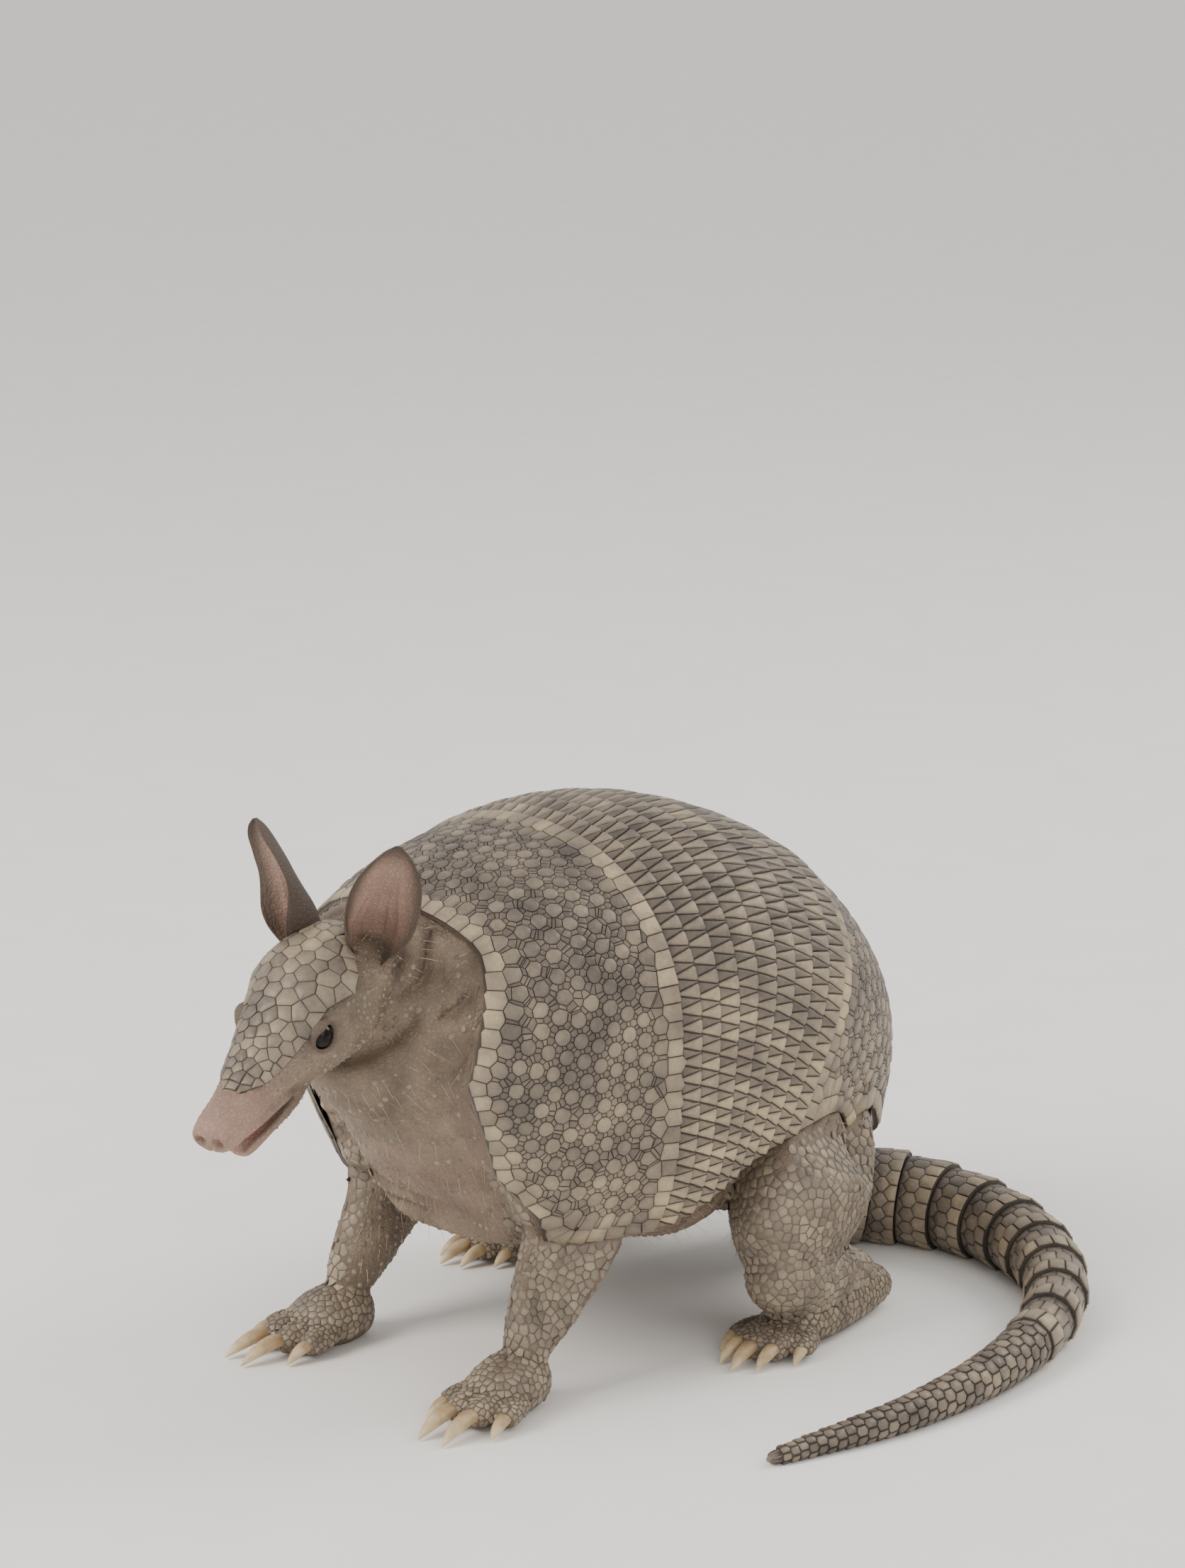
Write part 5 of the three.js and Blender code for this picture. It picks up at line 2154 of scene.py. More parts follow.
    def thin(self, skin: Piece) -> None:
        """Spends the triangles on the face and feet and saves them under the shell.

        Args:
            skin: The skin.
        """
        p = coordinates(skin) / MM
        part, _ = self.chart.read(p)
        near = np.isin(part, (Part.HEAD, Part.JAW, Part.TOE, Part.NECK))
        weights = np.where(near, 0.05, np.where(part == Part.TRUNK, 0.2, 0.5))
        weigh(skin, "thin", np.where(self.chart.hidden(p, normals(skin)), 1.0, weights))
        ratio = self.budget / (len(skin.data.polygons) * 2)
        if ratio < 1:
            apply_modifier(skin, "DECIMATE", ratio=ratio, vertex_group="thin", vertex_group_factor=1.0)

    def shape_face(self, skin: Piece) -> None:
        """Works the nose, nostrils, brows, cheeks and the creases round the eyes.

        Args:
            skin: The skin.
        """
        p = coordinates(skin) / MM
        h = to_head(p)
        lift = np.zeros(len(p))
        for hand in (1, -1):
            lift += 0.9 * bump_at(h, (40, hand * 19, -2), (16, 8, 5))
            lift -= 1.0 * bump_at(h, (60, hand * 12, 2), (12, 6, 5))
            lift += 0.7 * bump_at(h, (93, hand * 6, -2), (8, 5, 5))
            lift -= 3.6 * bump_at(h, (100.2, hand * 3.5, 0.2), (3.6, 2.3, 2.5))
            lift += 0.6 * bump_at(h, (98.5, hand * 5.6, 1.6), (4, 2.2, 4))
            centre, axis, _, _ = eye_axes(hand)
            away = h - centre
            turn = np.arccos(np.clip(unit(away) @ axis, -1, 1)) / DEGREE
            close = 1 - step(np.linalg.norm(away, axis=1), 8, 11)
            wrinkles = ((76, 0.4), (93, 0.3), (110, 0.25))
            lift -= close * sum(d * np.exp(-(((turn - a) / 4.5) ** 2)) for a, d in wrinkles)
        lift += 0.9 * bump_at(h, (96, 0, 4.5), (6, 7, 4)) - 0.8 * bump_at(h, (100, 0, -2.5), (4, 1.1, 5))
        snout = step(h[:, 0], 60, 76) * (1 - step(h[:, 0], 90, 97)) * step(h[:, 2], -6, 0)
        lift += 0.16 * snout * np.sin(h[:, 0] * 2 * math.pi / 2.9 + 2 * noise_field(p, 9))
        move_vertices(skin, (p + normals(skin) * lift[:, None]) * MM)

    def shape_folds(self, skin: Piece) -> None:
        """Works the folds of neck, chest and belly and the creases at the joints, and roughens the flesh.

        Args:
            skin: The skin.
        """
        p = coordinates(skin) / MM
        part, _ = self.chart.read(p)
        along_head = to_head(p)[:, 0]
        lift = 4.2 * self.folds(p, part)
        uneven = noise_field(p, 14) * 2.2
        for centre, axis, reach, pitch, depth in self.creases():
            around = bump_at(p - ORIGIN, centre, reach)
            turn = (p - ORIGIN - centre) @ axis * math.pi / pitch + uneven
            lift += 1.4 * depth * around * (np.abs(np.sin(turn)) ** 0.7 - 0.7)
        flesh = 1 - step(along_head, 20, 40)
        lift += 0.3 * noise_field(p, 7, 3.1) * flesh + (0.06 + 0.06 * flesh) * noise_field(p, 2.4, 7.7)
        move_vertices(skin, (p + normals(skin) * lift[:, None]) * MM)

    def folds(self, p: Array, part: Array) -> Array:
        """How high each place of the throat, chest and belly stands in its folds: below 0 in a crease.

        Args:
            p: Places on the skin, in mm.
            part: The numbers of the parts of the body there.

        Returns:
            The heights.
        """
        soft = np.isin(part, (Part.TRUNK, Part.NECK)) * (1 - step(to_head(p)[:, 0], 4, 16))
        strong = 0.4 + 0.6 * step(noise_field(p, 24, 5.0), -0.35, 0.25)
        return soft * strong * (np.abs(np.sin(fold_turn(p) * math.pi)) ** 0.6 - 0.76)

    def creases(self) -> Iterable[tuple[Array, Array, float, float, float]]:
        """Where the skin creases: middle, direction across the creases, reach, pitch and depth, in mm.

        Yields:
            The creases of both sides.
        """
        for hand in (1, -1):
            for place, axis, reach, pitch, depth in (
                ((48, -74, 38), (0, -0.3, 1), 26, 5.0, 0.5),
                ((47, -86, 20), (0, -0.5, 1), 20, 4.0, 0.45),
                ((46, -62, 78), (0, 0.3, 1), 30, 6.5, 0.5),
                ((75, 4, 40), (0, 0.6, 1), 30, 5.5, 0.55),
                ((66, 66, 20), (0, 0.4, 1), 24, 4.5, 0.45),
                ((60, 40, 60), (0, 0.7, 0.7), 40, 8.0, 0.4),
            ):
                middle = np.array([hand * place[0], place[1], place[2]], float)
                yield middle, unit(np.array([hand * axis[0], axis[1], axis[2]], float)), reach, pitch, depth

    def flatten_soles(self, skin: Piece) -> None:
        """Presses what is below the floor flat.

        Args:
            skin: The skin.
        """
        p = coordinates(skin)
        p[:, 2] = np.maximum(p[:, 2], 0)
        move_vertices(skin, p)

    def colour(self, skin: Piece) -> None:
        """Writes where the skin is pink, dusky or dark for its finish: the dark of the folds and the nostrils
        is painted shade.

        Args:
            skin: The skin.
        """
        p = coordinates(skin) / MM
        n, h = normals(skin), to_head(p)
        part, _ = self.chart.read(p)
        ear, inner = self.ears(p, part)
        snout = step(h[:, 0], 52, 98) * np.isin(part, (Part.HEAD, Part.JAW)) * (1 - ear)
        under = step(-n[:, 2], -0.1, 0.9) * (part == Part.TRUNK)
        lids = sum(1 - step(np.linalg.norm(h - eye_axes(s)[0], axis=1), 6.2, 7.4) for s in (1, -1))
        nostrils = sum(bump_at(h, (100.2, s * 3.5, 0.2), 2.6) for s in (1, -1))
        write_attribute(skin, "pink", np.clip(snout * 0.95 + under * 0.3 + inner, 0, 1))
        write_attribute(skin, "ear", np.clip(ear - inner + 0.7 * lids, 0, 1))
        write_attribute(skin, "foot", 1 - step(p[:, 2], 10, 45))
        # Painted shade: the nostrils are darkened nearly black
        write_attribute(skin, "nostril_shade", np.clip(nostrils * 2, 0, 1))
        # fold: painted shade deep in the creases of the folds
        write_attribute(skin, "fold", step(-self.folds(p, part), 0.0, 0.5))

    def ears(self, p: Array, part: Array) -> tuple[Array, Array]:
        """How far each place belongs to an ear, and how far it lies in the flushed middle of its inner face.

        Args:
            p: Places on the skin, in mm.
            part: The numbers of the parts of the body there.

        Returns:
            Both, from 0 to 1.
        """
        x, up = (a.ravel() for a in np.meshgrid(np.linspace(-1, 1, 31), np.linspace(0, 1, 41)))
        leaves = [Ear(hand).at(x, up, np.full(len(x), float(z))) for hand in (1, -1) for z in (0, 1)]
        tree, ear, inner = tree_of(np.vstack(leaves)), np.zeros(len(p)), np.zeros(len(p))
        for k in np.nonzero(part == Part.EAR)[0]:
            _, i, far = tree.find(p[k])
            if far < 2.5:
                face, j = i // len(x) % 2, i % len(x)
                ear[k] = float(step(up[j], 0.06, 0.14))
                flushed = (1 - face) * (1 - step(abs(x[j]), 0.45, 0.95)) * (1 - step(up[j], 0.72, 1))
                inner[k] = flushed * ear[k] * 0.85
        return ear, inner


class Hug:
    """Lays points on the skin and knows its own unwrap."""

    def __init__(self, skin: Piece) -> None:
        """Keeps the skin's faces for finding what is nearest, and unwraps a copy of it.

        Args:
            skin: The skin.
        """
        self.points, self.normals = coordinates(skin) / MM, normals(skin)
        self.faces = [tuple(p.vertices) for p in skin.data.polygons]
        self.tree = BVHTree.FromPolygons(self.points.tolist(), self.faces)
        self.corner = np.array([f[0] for f in self.faces])
        copy = placed("skin_copy", skin.data.copy())
        pick(copy)
        bpy.ops.object.mode_set(mode="EDIT")
        bpy.ops.mesh.select_all(action="SELECT")
        bpy.ops.uv.smart_project(angle_limit=1.2, island_margin=0.002)
        bpy.ops.object.mode_set(mode="OBJECT")
        self.unwrap = np.empty(len(copy.data.loops) * 2, np.float32)
        copy.data.uv_layers.active.data.foreach_get("uv", self.unwrap)
        self.unwrap = self.unwrap.reshape(-1, 2)
        self.first = np.array([p.loop_start for p in copy.data.polygons])
        bpy.data.objects.remove(copy)

    def lay(self, points: Array) -> tuple[Array, Array, Array]:
        """The nearest places on the skin.

        Args:
            points: Rows of points, in mm.

        Returns:
            The places, the smooth normals there and their places on the unwrap.
        """
        found = [self.tree.find_nearest(p) for p in points.tolist()]
        face = np.array([f[2] for f in found])
        return np.array([f[0] for f in found]), self.normals[self.corner[face]], self.unwrap[self.first[face]]

    def strew(self, per_mm2: float, seed: int) -> tuple[Array, Array]:
        """Strews places evenly at random over the skin.

        Args:
            per_mm2: How many for each square mm.
            seed: The seed of their places.

        Returns:
            The places and the smooth normals there.
        """
        dice = np.random.default_rng(seed)
        corners = np.array([(f[0], f[i], f[i + 1]) for f in self.faces for i in range(1, len(f) - 1)])
        a, b, c = (self.points[corners[:, i]] for i in range(3))
        area = np.linalg.norm(np.cross(b - a, c - a), axis=1) / 2
        chosen = dice.choice(len(area), int(area.sum() * per_mm2), p=area / area.sum())
        r, s = np.sqrt(dice.random((len(chosen), 1))), dice.random((len(chosen), 1))
        parts = (1 - r, r * (1 - s), r * s)
        places = sum(w * self.points[corners[chosen, i]] for i, w in enumerate(parts))
        return places, unit(sum(w * self.normals[corners[chosen, i]] for i, w in enumerate(parts)))


COBBLE = ScuteCut(groove=0.3, sink=0.45, edge=0.1, bevel=0.32, shoulder=0.3, crown=0.4, slant=0.1)
GRAIN = ScuteCut(groove=0.3, sink=0.45, edge=-0.02, bevel=0.4, shoulder=0.3, crown=0.46, slant=0.1)


@dataclass
class HideScales:
    """The horny scales in the skin: cobbles on legs and feet, grains in rows on neck, chest and belly."""

    chart: Chart
    seed: int = 41
    density: float = 0.8

    def build(self, hug: Hug) -> Iterable[Piece]:
        """Models the scales, and keeps where those of the soft skin stand for the bristles.

        Args:
            hug: The skin that they lie on.

        Yields:
            One piece of scales for each part of the body.
        """
        p, n = hug.strew(self.density, self.seed)
        part, run = self.chart.read(p)
        pitch, loose = self.ground(p, n, part)
        open_skin = np.nonzero(pitch > 0)[0]
        open_skin = open_skin[~self.chart.hidden(p[open_skin], n[open_skin])]
        pinched = [hug.tree.ray_cast(p[i] + n[i] * 0.5, n[i], 2.6)[0] is not None for i in open_skin]
        open_skin = open_skin[~np.array(pinched)]
        p, n, part, run, pitch, loose = (a[open_skin] for a in (p, n, part, run, pitch, loose))
        kept = thin_out(p, pitch * (0.78 + 0.1 * loose))
        p, part, run, pitch, loose = (a[kept] for a in (p, part, run, pitch, loose))
        for _ in range(6):
            p, n, home = hug.lay(p + shove(p, pitch, 0.3) * (1 - loose[:, None]))
        run = unit(run - n * np.sum(run * n, axis=1, keepdims=True))
        self.roots = tuple(a[loose > 0.6] for a in (p, n, run, home, part))
        dice = np.random.default_rng(self.seed)
        tone = 0.3 + 0.35 * dice.random(len(p)) - loose * 0.1
        reach = pitch * (0.8 - loose * dice.uniform(0.38, 0.62, len(p)))

        def patch(i: int, corners: Array) -> Array:
            """A scute's corners' places on the bake map."""
            return home[i] + corners / max(np.abs(corners).max(), 1e-6) * 0.0014

        groups = {
            "foreleg_scales": (part == Part.FORELEG) | ((p[:, 1] < 0) & (part >= Part.FOOT)),
            "hindleg_scales": (part == Part.HINDLEG) | ((p[:, 1] >= 0) & (part >= Part.FOOT)),
            "head_scales": np.isin(part, (Part.HEAD, Part.JAW)),
            "body_scales": np.isin(part, (Part.TRUNK, Part.NECK)),
        }
        for name, members in groups.items():
            cuts = [(GRAIN if a > 0.6 else COBBLE) if m else None for a, m in zip(loose, members)]
            mosaic = Mosaic()
            cut_cells(mosaic, p, n, run, pitch * 0.5, reach, cuts, tone, patch)
            yield mosaic.piece(name)

    def bristles(self) -> Iterable[Piece]:
        """Models the sparse hairs that grow behind the grains of the face, the soft skin and the legs.

        Yields:
            The hairs of face, soft skin and legs.
        """
        p, n, run, home, part = self.roots
        face, soft = np.isin(part, (Part.HEAD, Part.JAW)), np.isin(part, (Part.TRUNK, Part.NECK))
        dice = np.random.default_rng(self.seed + 1)
        kinds = (
            ("face_hairs", face, 0.35, 1.2, 3.0),
            ("body_hairs", soft, 0.9, 3.0, 8.0),
            ("leg_hairs", ~(face | soft), 0.4, 3.0, 6.0),
        )
        for i, (name, grows, share, short, long) in enumerate(kinds):
            own = grows & (dice.random(len(p)) < share)
            hairs = Bristles(name, self.seed + i, short, long)
            yield hairs.build(p[own] + run[own] * 0.6, n[own], run[own], home[own])

    def ground(self, p: Array, n: Array, part: Array) -> tuple[Array, Array]:
        """Where scales grow.

        Args:
            p: Places on the skin, in mm.
            n: The skin's normals there.
            part: The numbers of the parts of the body there.

        Returns:
            The scales' pitch at each place, in mm, 0 for none, and how far they stand apart as grains, to 1.
        """
        h, z, uneven = to_head(p), p[:, 2], noise_field(p, 12)
        leg, foot = np.isin(part, (Part.FORELEG, Part.HINDLEG)), np.isin(part, (Part.FOOT, Part.TOE))
        inward = -n[:, 0] * np.sign(p[:, 0] - ORIGIN[0])
        rim = HEAD_SHIELD_RIM(np.clip(h[:, 0] / 100, 0, 1)) + 0.06
        turn = np.arctan2(np.abs(h[:, 1]), h[:, 2])
        eye = np.hypot(h[:, 0] - EYE[0], h[:, 2] - EYE[2])
        cheek = (part == Part.HEAD) & (turn > rim) & (h[:, 0] < 76 + 5 * uneven)
        cheek &= (eye > 8.2) & (h[:, 2] < 21) & ~((h[:, 0] > 54) & (h[:, 2] < -3))
        jaw = (part == Part.JAW) & (h[:, 0] < 74) & (n @ HEAD_UP < -0.2)
        soft = np.isin(part, (Part.NECK, Part.TRUNK))
        rump = soft & (p[:, 1] > 92 + 8 * uneven)
        soft &= (np.abs(np.sin(fold_turn(p) * math.pi)) > 0.93) & (h[:, 2] < 24)
        pitch = np.select(
            [leg, part == Part.FOOT, part == Part.TOE, cheek, jaw, rump, soft],
            [3.1 + 0.7 * step(z, 30, 90), 2.6, 2.0, 2.1 + 0.4 * (1 - step(h[:, 0], 20, 60)), 2.5, 3.4, 3.1],
            0.0,
        )
        sole = (z < 2.4) | ((n[:, 2] < -0.45) & foot)
        loose = np.maximum(step(z + 9 * uneven, 54, 96), step(inward + 0.2 * uneven, 0.3, 0.75))
        loose = np.where(leg, loose, ~foot)
        loose = np.where(rump, 0.5, loose)
        return np.where(sole, 0.0, pitch), loose


@dataclass
class Bristles:
    """Sparse pale hairs, thin and lying back, as solid three-sided slivers."""

    name: str
    seed: int
    short: float
    long: float
    sides: int = 3
    joints: int = 3
    radius: float = 0.085

    def build(self, roots: Array, normal: Array, back: Array, home: Array) -> Piece:
        """Models the hairs.

        Args:
            roots: Where they grow, as rows, in mm.
            normal: The surface's normals there.
            back: The directions that they lie in.
            home: Their places on the bake map.

        Returns:
            The hairs as one piece.
        """
        dice = np.random.default_rng(self.seed)
        count = len(roots)
        length = dice.uniform(self.short, self.long, (count, 1))
        lie = unit(back + normal * dice.uniform(0.25, 0.7, (count, 1)) + dice.normal(0, 0.2, (count, 3)))
        droop = lie - normal * 0.5
        side = unit(np.cross(lie, normal))
        up = np.cross(side, lie)
        points = []
        for j in range(self.joints):
            t = j / self.joints
            middle = roots - normal * 0.3 + (lie * t + droop * t * t * 0.35) * length
            for k in range(self.sides):
                a = 2 * math.pi * k / self.sides
                points.append(middle + (side * math.cos(a) + up * math.sin(a)) * self.radius * (1 - 0.6 * t))
        points.append(roots - normal * 0.3 + (lie + droop * 0.35) * length)
        vertices = np.stack(points, axis=1).reshape(-1, 3)
        vertices[:, 2] = np.maximum(vertices[:, 2], 0.05)
        per = self.sides * self.joints + 1
        pattern = [tuple(range(self.sides - 1, -1, -1))]
        for j in range(self.joints):
            for k in range(self.sides):
                a, b = j * self.sides + k, j * self.sides + (k + 1) % self.sides
                last = j == self.joints - 1
                pattern.append((a, b, per - 1) if last else (a, b, b + self.sides, a + self.sides))
        faces = [tuple(i * per + c for c in f) for i in range(count) for f in pattern]
        piece = from_faces(self.name, vertices, faces)
        rays = [(1 - j / self.joints, 2.1 * k) for j in range(self.joints) for k in range(self.sides)]
        own = np.array([(r * math.cos(a), r * math.sin(a)) for r, a in rays] + [(0, 0)]) * 0.0013
        write_map(piece, (home[:, None, :] + own[None]).reshape(-1, 2))
        write_attribute(piece, "tone", np.repeat(dice.random(count), per))
        face_outwards(piece)
        return piece


# ------------------------------------------------------------------ finishes

Socket = bpy.types.NodeSocket


def colour(code: str) -> tuple[float, float, float, float]:
    """An sRGB hex colour, such as "#8a7f70", in linear light."""
    parts = [int(code[i : i + 2], 16) / 255 for i in (1, 3, 5)]
    return (*(c / 12.92 if c <= 0.04045 else ((c + 0.055) / 1.055) ** 2.4 for c in parts), 1.0)


def per_metre(size_mm: float) -> float:
    """How often a pattern of a size in mm comes in a metre."""
    return 1000 / size_mm


def add_node(
    material: bpy.types.Material,
    kind: str,
    inputs: Sequence[object] | dict[str | int, object] = (),
    out: int | str = 0,
    stops: Sequence[tuple[float, str]] = (),
    **settings: object,
) -> Socket | None:
    """Adds a node with its settings and links.

    Args:
        material: The material.
        kind: The node's type, without "ShaderNode".
        inputs: Values or other nodes' outputs for its inputs, in order or by name.
        out: Which of its outputs is wanted.
        stops: A colour ramp's places and colours.
        settings: Its properties.

    Returns:
        The output, or None for a node without one.
    """
    tree = material.node_tree
    node = tree.nodes.new("ShaderNode" + kind)
    for name, value in settings.items():
        setattr(node, name, value)
    for name, value in inputs.items() if isinstance(inputs, dict) else enumerate(inputs):
        if isinstance(value, Socket):
            tree.links.new(value, node.inputs[name])
        else:
            node.inputs[name].default_value = value
    for i, (place, code) in enumerate(stops):
        elements = node.color_ramp.elements
        element = elements[i] if i < len(elements) else elements.new(place)
        element.position, element.color = place, colour(code)
    return node.outputs[out] if node.outputs else None


@dataclass(frozen=True)
class Finish:
    """What every finish shares: a material with one surface, patterned in the piece's own space."""

    name: str = "finish"

    def surface(self, add: Callable[..., Socket], place: Socket) -> dict[str, object]:
        """Adds the finish's own nodes and gives the surface's inputs by name."""
        raise NotImplementedError

    def material(self) -> bpy.types.Material:
        """Makes the material.

        Returns:
            The material.
        """
        material = bpy.data.materials.new(self.name)
        material.use_nodes = True
        material.node_tree.nodes.clear()
        add = partial(add_node, material)
        inputs = self.surface(add, add("TexCoord", out="Object"))
        add("OutputMaterial", (add("BsdfPrincipled", inputs),))
        return material


@dataclass(frozen=True)
class ScuteHorn(Finish):
    """Keratin scutes over bone, worn by earth and undergrowth.

    The horn is smooth but dull, paler on its crowns with wear and a painted highlight, and dark in its
    grooves with soil and painted shade.
    """

    name: str = "scute_horn"
    # soil: the colour of the soil and the painted shade in the grooves
    soil: str = "#211b17"
    dark: str = "#38322d"
    middle: str = "#62584e"
    pale: str = "#8c7e6b"
    ivory: str = "#b9a884"

    def surface(self, add: Callable[..., Socket], place: Socket) -> dict[str, object]:
        """Adds clouds of 16 mm, flecks of 1.6 mm and pores of 0.9 mm.

        Args:
            add: Adds a node to the material.
            place: The places on the piece.

        Returns:
            The surface's inputs by name.
        """
        tone = add("Attribute", out="Fac", attribute_name="tone")
        relief = add("Attribute", out="Fac", attribute_name="relief")
        clouds = add("TexNoise", {"Vector": place, "Scale": per_metre(16), "Detail": 3})
        fleck = add("TexNoise", {"Vector": place, "Scale": per_metre(1.6), "Detail": 5, "Roughness": 0.7})
        worn = add("Math", (fleck, 0.35, tone), operation="MULTIPLY_ADD")
        drift = add("Math", (clouds, 0.9, worn), operation="MULTIPLY_ADD")
        # Painted highlight, with wear: paler towards each scute's crown
        crown = add("MapRange", (relief, 0.6, 1.0, -0.625, -0.505))
        stops = ((0.0, self.dark), (0.38, self.middle), (0.72, self.pale), (1.0, self.ivory))
        horn = add("ValToRGB", (add("Math", (drift, crown), operation="ADD"),), stops=stops)
        # Painted shade, with soil: darker down the scutes' walls and on the bed between them
        groove = add("MapRange", (relief, 0.38, 0.02))
        groove_soil_and_shade = add("Math", (groove, add("MapRange", (fleck, 0.3, 0.6, 0.75, 1.0))), operation="MULTIPLY")
        finished = add("Mix", {0: groove_soil_and_shade, 6: horn, 7: colour(self.soil)}, out=2, data_type="RGBA")
        pores = add("TexVoronoi", {"Vector": place, "Scale": per_metre(0.9)}, feature="F1")
        height = add("Math", (pores, 1.1, fleck), operation="MULTIPLY_ADD")
        dull = add("Math", (fleck, groove_soil_and_shade), operation="ADD")
        return {
            "Base Color": finished,
            "Roughness": add("MapRange", (dull, 0.3, 1.3, 0.36, 0.72)),
            "Normal": add("Bump", {"Height": height, "Distance": 0.07 * MM, "Strength": 1.0}),
            "IOR": 1.54,
            "Specular IOR Level": 0.45,
        }


@dataclass(frozen=True)
class Hide(Finish):
    """Bare leathery skin: greyish tan, finely creased into pebbles, flushed on the snout and inside the ears.

    It is soft and dull, lets a little light through its thin parts, and its creases, pebble edges and folds
    are painted darker, as shade and the grime that they hold.
    """

    name: str = "hide"
    tan: str = "#8e7d6b"
    brown: str = "#675a4d"
    # crease: the colour of the painted shade, and grime, in creases, between pebbles and in folds
    crease: str = "#3a302a"
    pink: str = "#b18f82"
    ear: str = "#463c37"
    foot: str = "#655848"
    # The painted shade of the nostrils, nearly black
    nostril_shade: str = "#1a0f0d"

    def surface(self, add: Callable[..., Socket], place: Socket) -> dict[str, object]:
        """Adds clouds of 13 mm, creases 2.1 mm apart, pebbles of 0.85 mm and pores of 0.9 mm.

        Args:
            add: Adds a node to the material.
            place: The places on the piece.

        Returns:
            The surface's inputs by name.
        """
        clouds = add("TexNoise", {"Vector": place, "Scale": per_metre(13), "Detail": 4, "Roughness": 0.55})
        fine = add("TexNoise", {"Vector": place, "Scale": per_metre(0.9), "Detail": 5, "Roughness": 0.65})
        wobble = add("TexNoise", {"Vector": place, "Scale": per_metre(4.6), "Detail": 2}, out="Color")
        bent = add("VectorMath", (wobble, (0.0019, 0.0019, 0.0019), place), operation="MULTIPLY_ADD")
        inputs = {"Vector": bent, "Scale": per_metre(2.1), "Randomness": 0.9}
        creases = add("MapRange", (add("TexVoronoi", inputs, feature="DISTANCE_TO_EDGE"), 0.0, 0.2))
        inputs = {"Vector": bent, "Scale": per_metre(0.85), "Randomness": 0.9}
        pebbles = add("MapRange", (add("TexVoronoi", inputs, feature="F1"), 0.0, 0.55, 1.0, 0.0))
        shade = add("MapRange", (clouds, 0.3, 0.7))
        base = add("ValToRGB", (shade,), stops=((0.0, self.brown), (1.0, self.tan)))
        marks = (("foot", 0.8, self.foot), ("ear", 0.85, self.ear), ("pink", 0.78, self.pink))
        for name, share, code in marks:
            marked = add("Attribute", out="Fac", attribute_name=name)
            patchy = add("MapRange", (clouds, 0.25, 0.6, share * 0.75, share))
            even = add("Math", (marked, patchy), operation="MULTIPLY")
            base = add("Mix", {0: even, 6: base, 7: colour(code)}, out=2, data_type="RGBA")
        # Painted shade, with some grime: darker in the creases, between the pebbles and deep in the folds
        low = add("MapRange", (creases, 0.7, 0.0, 0.0, 0.34))
        fold = add("Attribute", out="Fac", attribute_name="fold")
        low = add("Math", (fold, 0.55, low), operation="MULTIPLY_ADD")
        low = add("Math", (low, add("MapRange", (pebbles, 0.35, 0.0, 0.0, 0.22))), operation="MAXIMUM")
        lined = add("Mix", {0: low, 6: base, 7: colour(self.crease)}, out=2, data_type="RGBA")
        # Painted shade: the nostrils are darkened nearly black
        nostril_shade = add("Attribute", out="Fac", attribute_name="nostril_shade")
        finished = add("Mix", {0: nostril_shade, 6: lined, 7: colour(self.nostril_shade)}, out=2, data_type="RGBA")
        height = add("Math", (creases, 0.45), operation="MULTIPLY")
        height = add("Math", (fine, 0.35, height), operation="MULTIPLY_ADD")
        height = add("Math", (pebbles, 0.45, height), operation="MULTIPLY_ADD")
        return {
            "Base Color": finished,
            "Roughness": add("MapRange", (fine, 0.3, 0.7, 0.5, 0.7)),
            "Normal": add("Bump", {"Height": height, "Distance": 0.25 * MM, "Strength": 1.0}),
            "IOR": 1.45,
            "Specular IOR Level": 0.4,
            "Subsurface Weight": 0.08,
            "Subsurface Radius": (0.004, 0.0018, 0.001),
            "Subsurface Scale": 0.5,
        }


@dataclass(frozen=True)
class Bristle(Finish):
    """Sparse stiff hairs of pale keratin, which catch the light along their length."""

    name: str = "bristle_keratin"

    def surface(self, add: Callable[..., Socket], place: Socket) -> dict[str, object]:
        """Adds each hair has its own shade, with clouds of 9 mm.

        Args:
            add: Adds a node to the material.
            place: The places on the piece.

        Returns:
            The surface's inputs by name.
        """
        tone = add("Attribute", out="Fac", attribute_name="tone")
        clouds = add("TexNoise", {"Vector": place, "Scale": per_metre(9), "Detail": 2})
        shade = add("Math", (add("Math", (tone, clouds), operation="ADD"), 0.5), operation="MULTIPLY")
        stops = ((0.2, "#8f8371"), (0.55, "#bdb09a"), (0.85, "#ded4c0"))
        return {
            "Base Color": add("ValToRGB", (shade,), stops=stops),
            "Roughness": 0.42,
            "IOR": 1.54,
        }


@dataclass(frozen=True)
class ClawHorn(Finish):
    """Digging claws of solid keratin: pale horn, streaked and stained at the root, polished by soil."""

    name: str = "claw_horn"

    def surface(self, add: Callable[..., Socket], place: Socket) -> dict[str, object]:
        """Adds clouds of 5 mm and scratches of 0.7 mm.

        Args:
            add: Adds a node to the material.
            place: The places on the piece.

        Returns:
            The surface's inputs by name.
        """
        clouds = add("TexNoise", {"Vector": place, "Scale": per_metre(5), "Detail": 4})
        fine = add("TexNoise", {"Vector": place, "Scale": per_metre(0.7), "Detail": 4, "Roughness": 0.7})
        far = add("Attribute", out="Fac", attribute_name="relief")
        root = add("Math", (far, 0.45), operation="MULTIPLY")
        shade = add("Math", (clouds, 0.7, root), operation="MULTIPLY_ADD")
        stops = ((0.15, "#6d5a44"), (0.5, "#a88f6c"), (0.9, "#d9c8a4"))
        return {
            "Base Color": add("ValToRGB", (shade,), stops=stops),
            "Roughness": add("MapRange", (fine, 0.3, 0.7, 0.3, 0.5)),
            "Normal": add("Bump", {"Height": fine, "Distance": 0.05 * MM, "Strength": 1.0}),
            "IOR": 1.54,
            "Subsurface Weight": 0.1,
            "Subsurface Radius": (0.003, 0.002, 0.001),
            "Subsurface Scale": 0.5,
        }


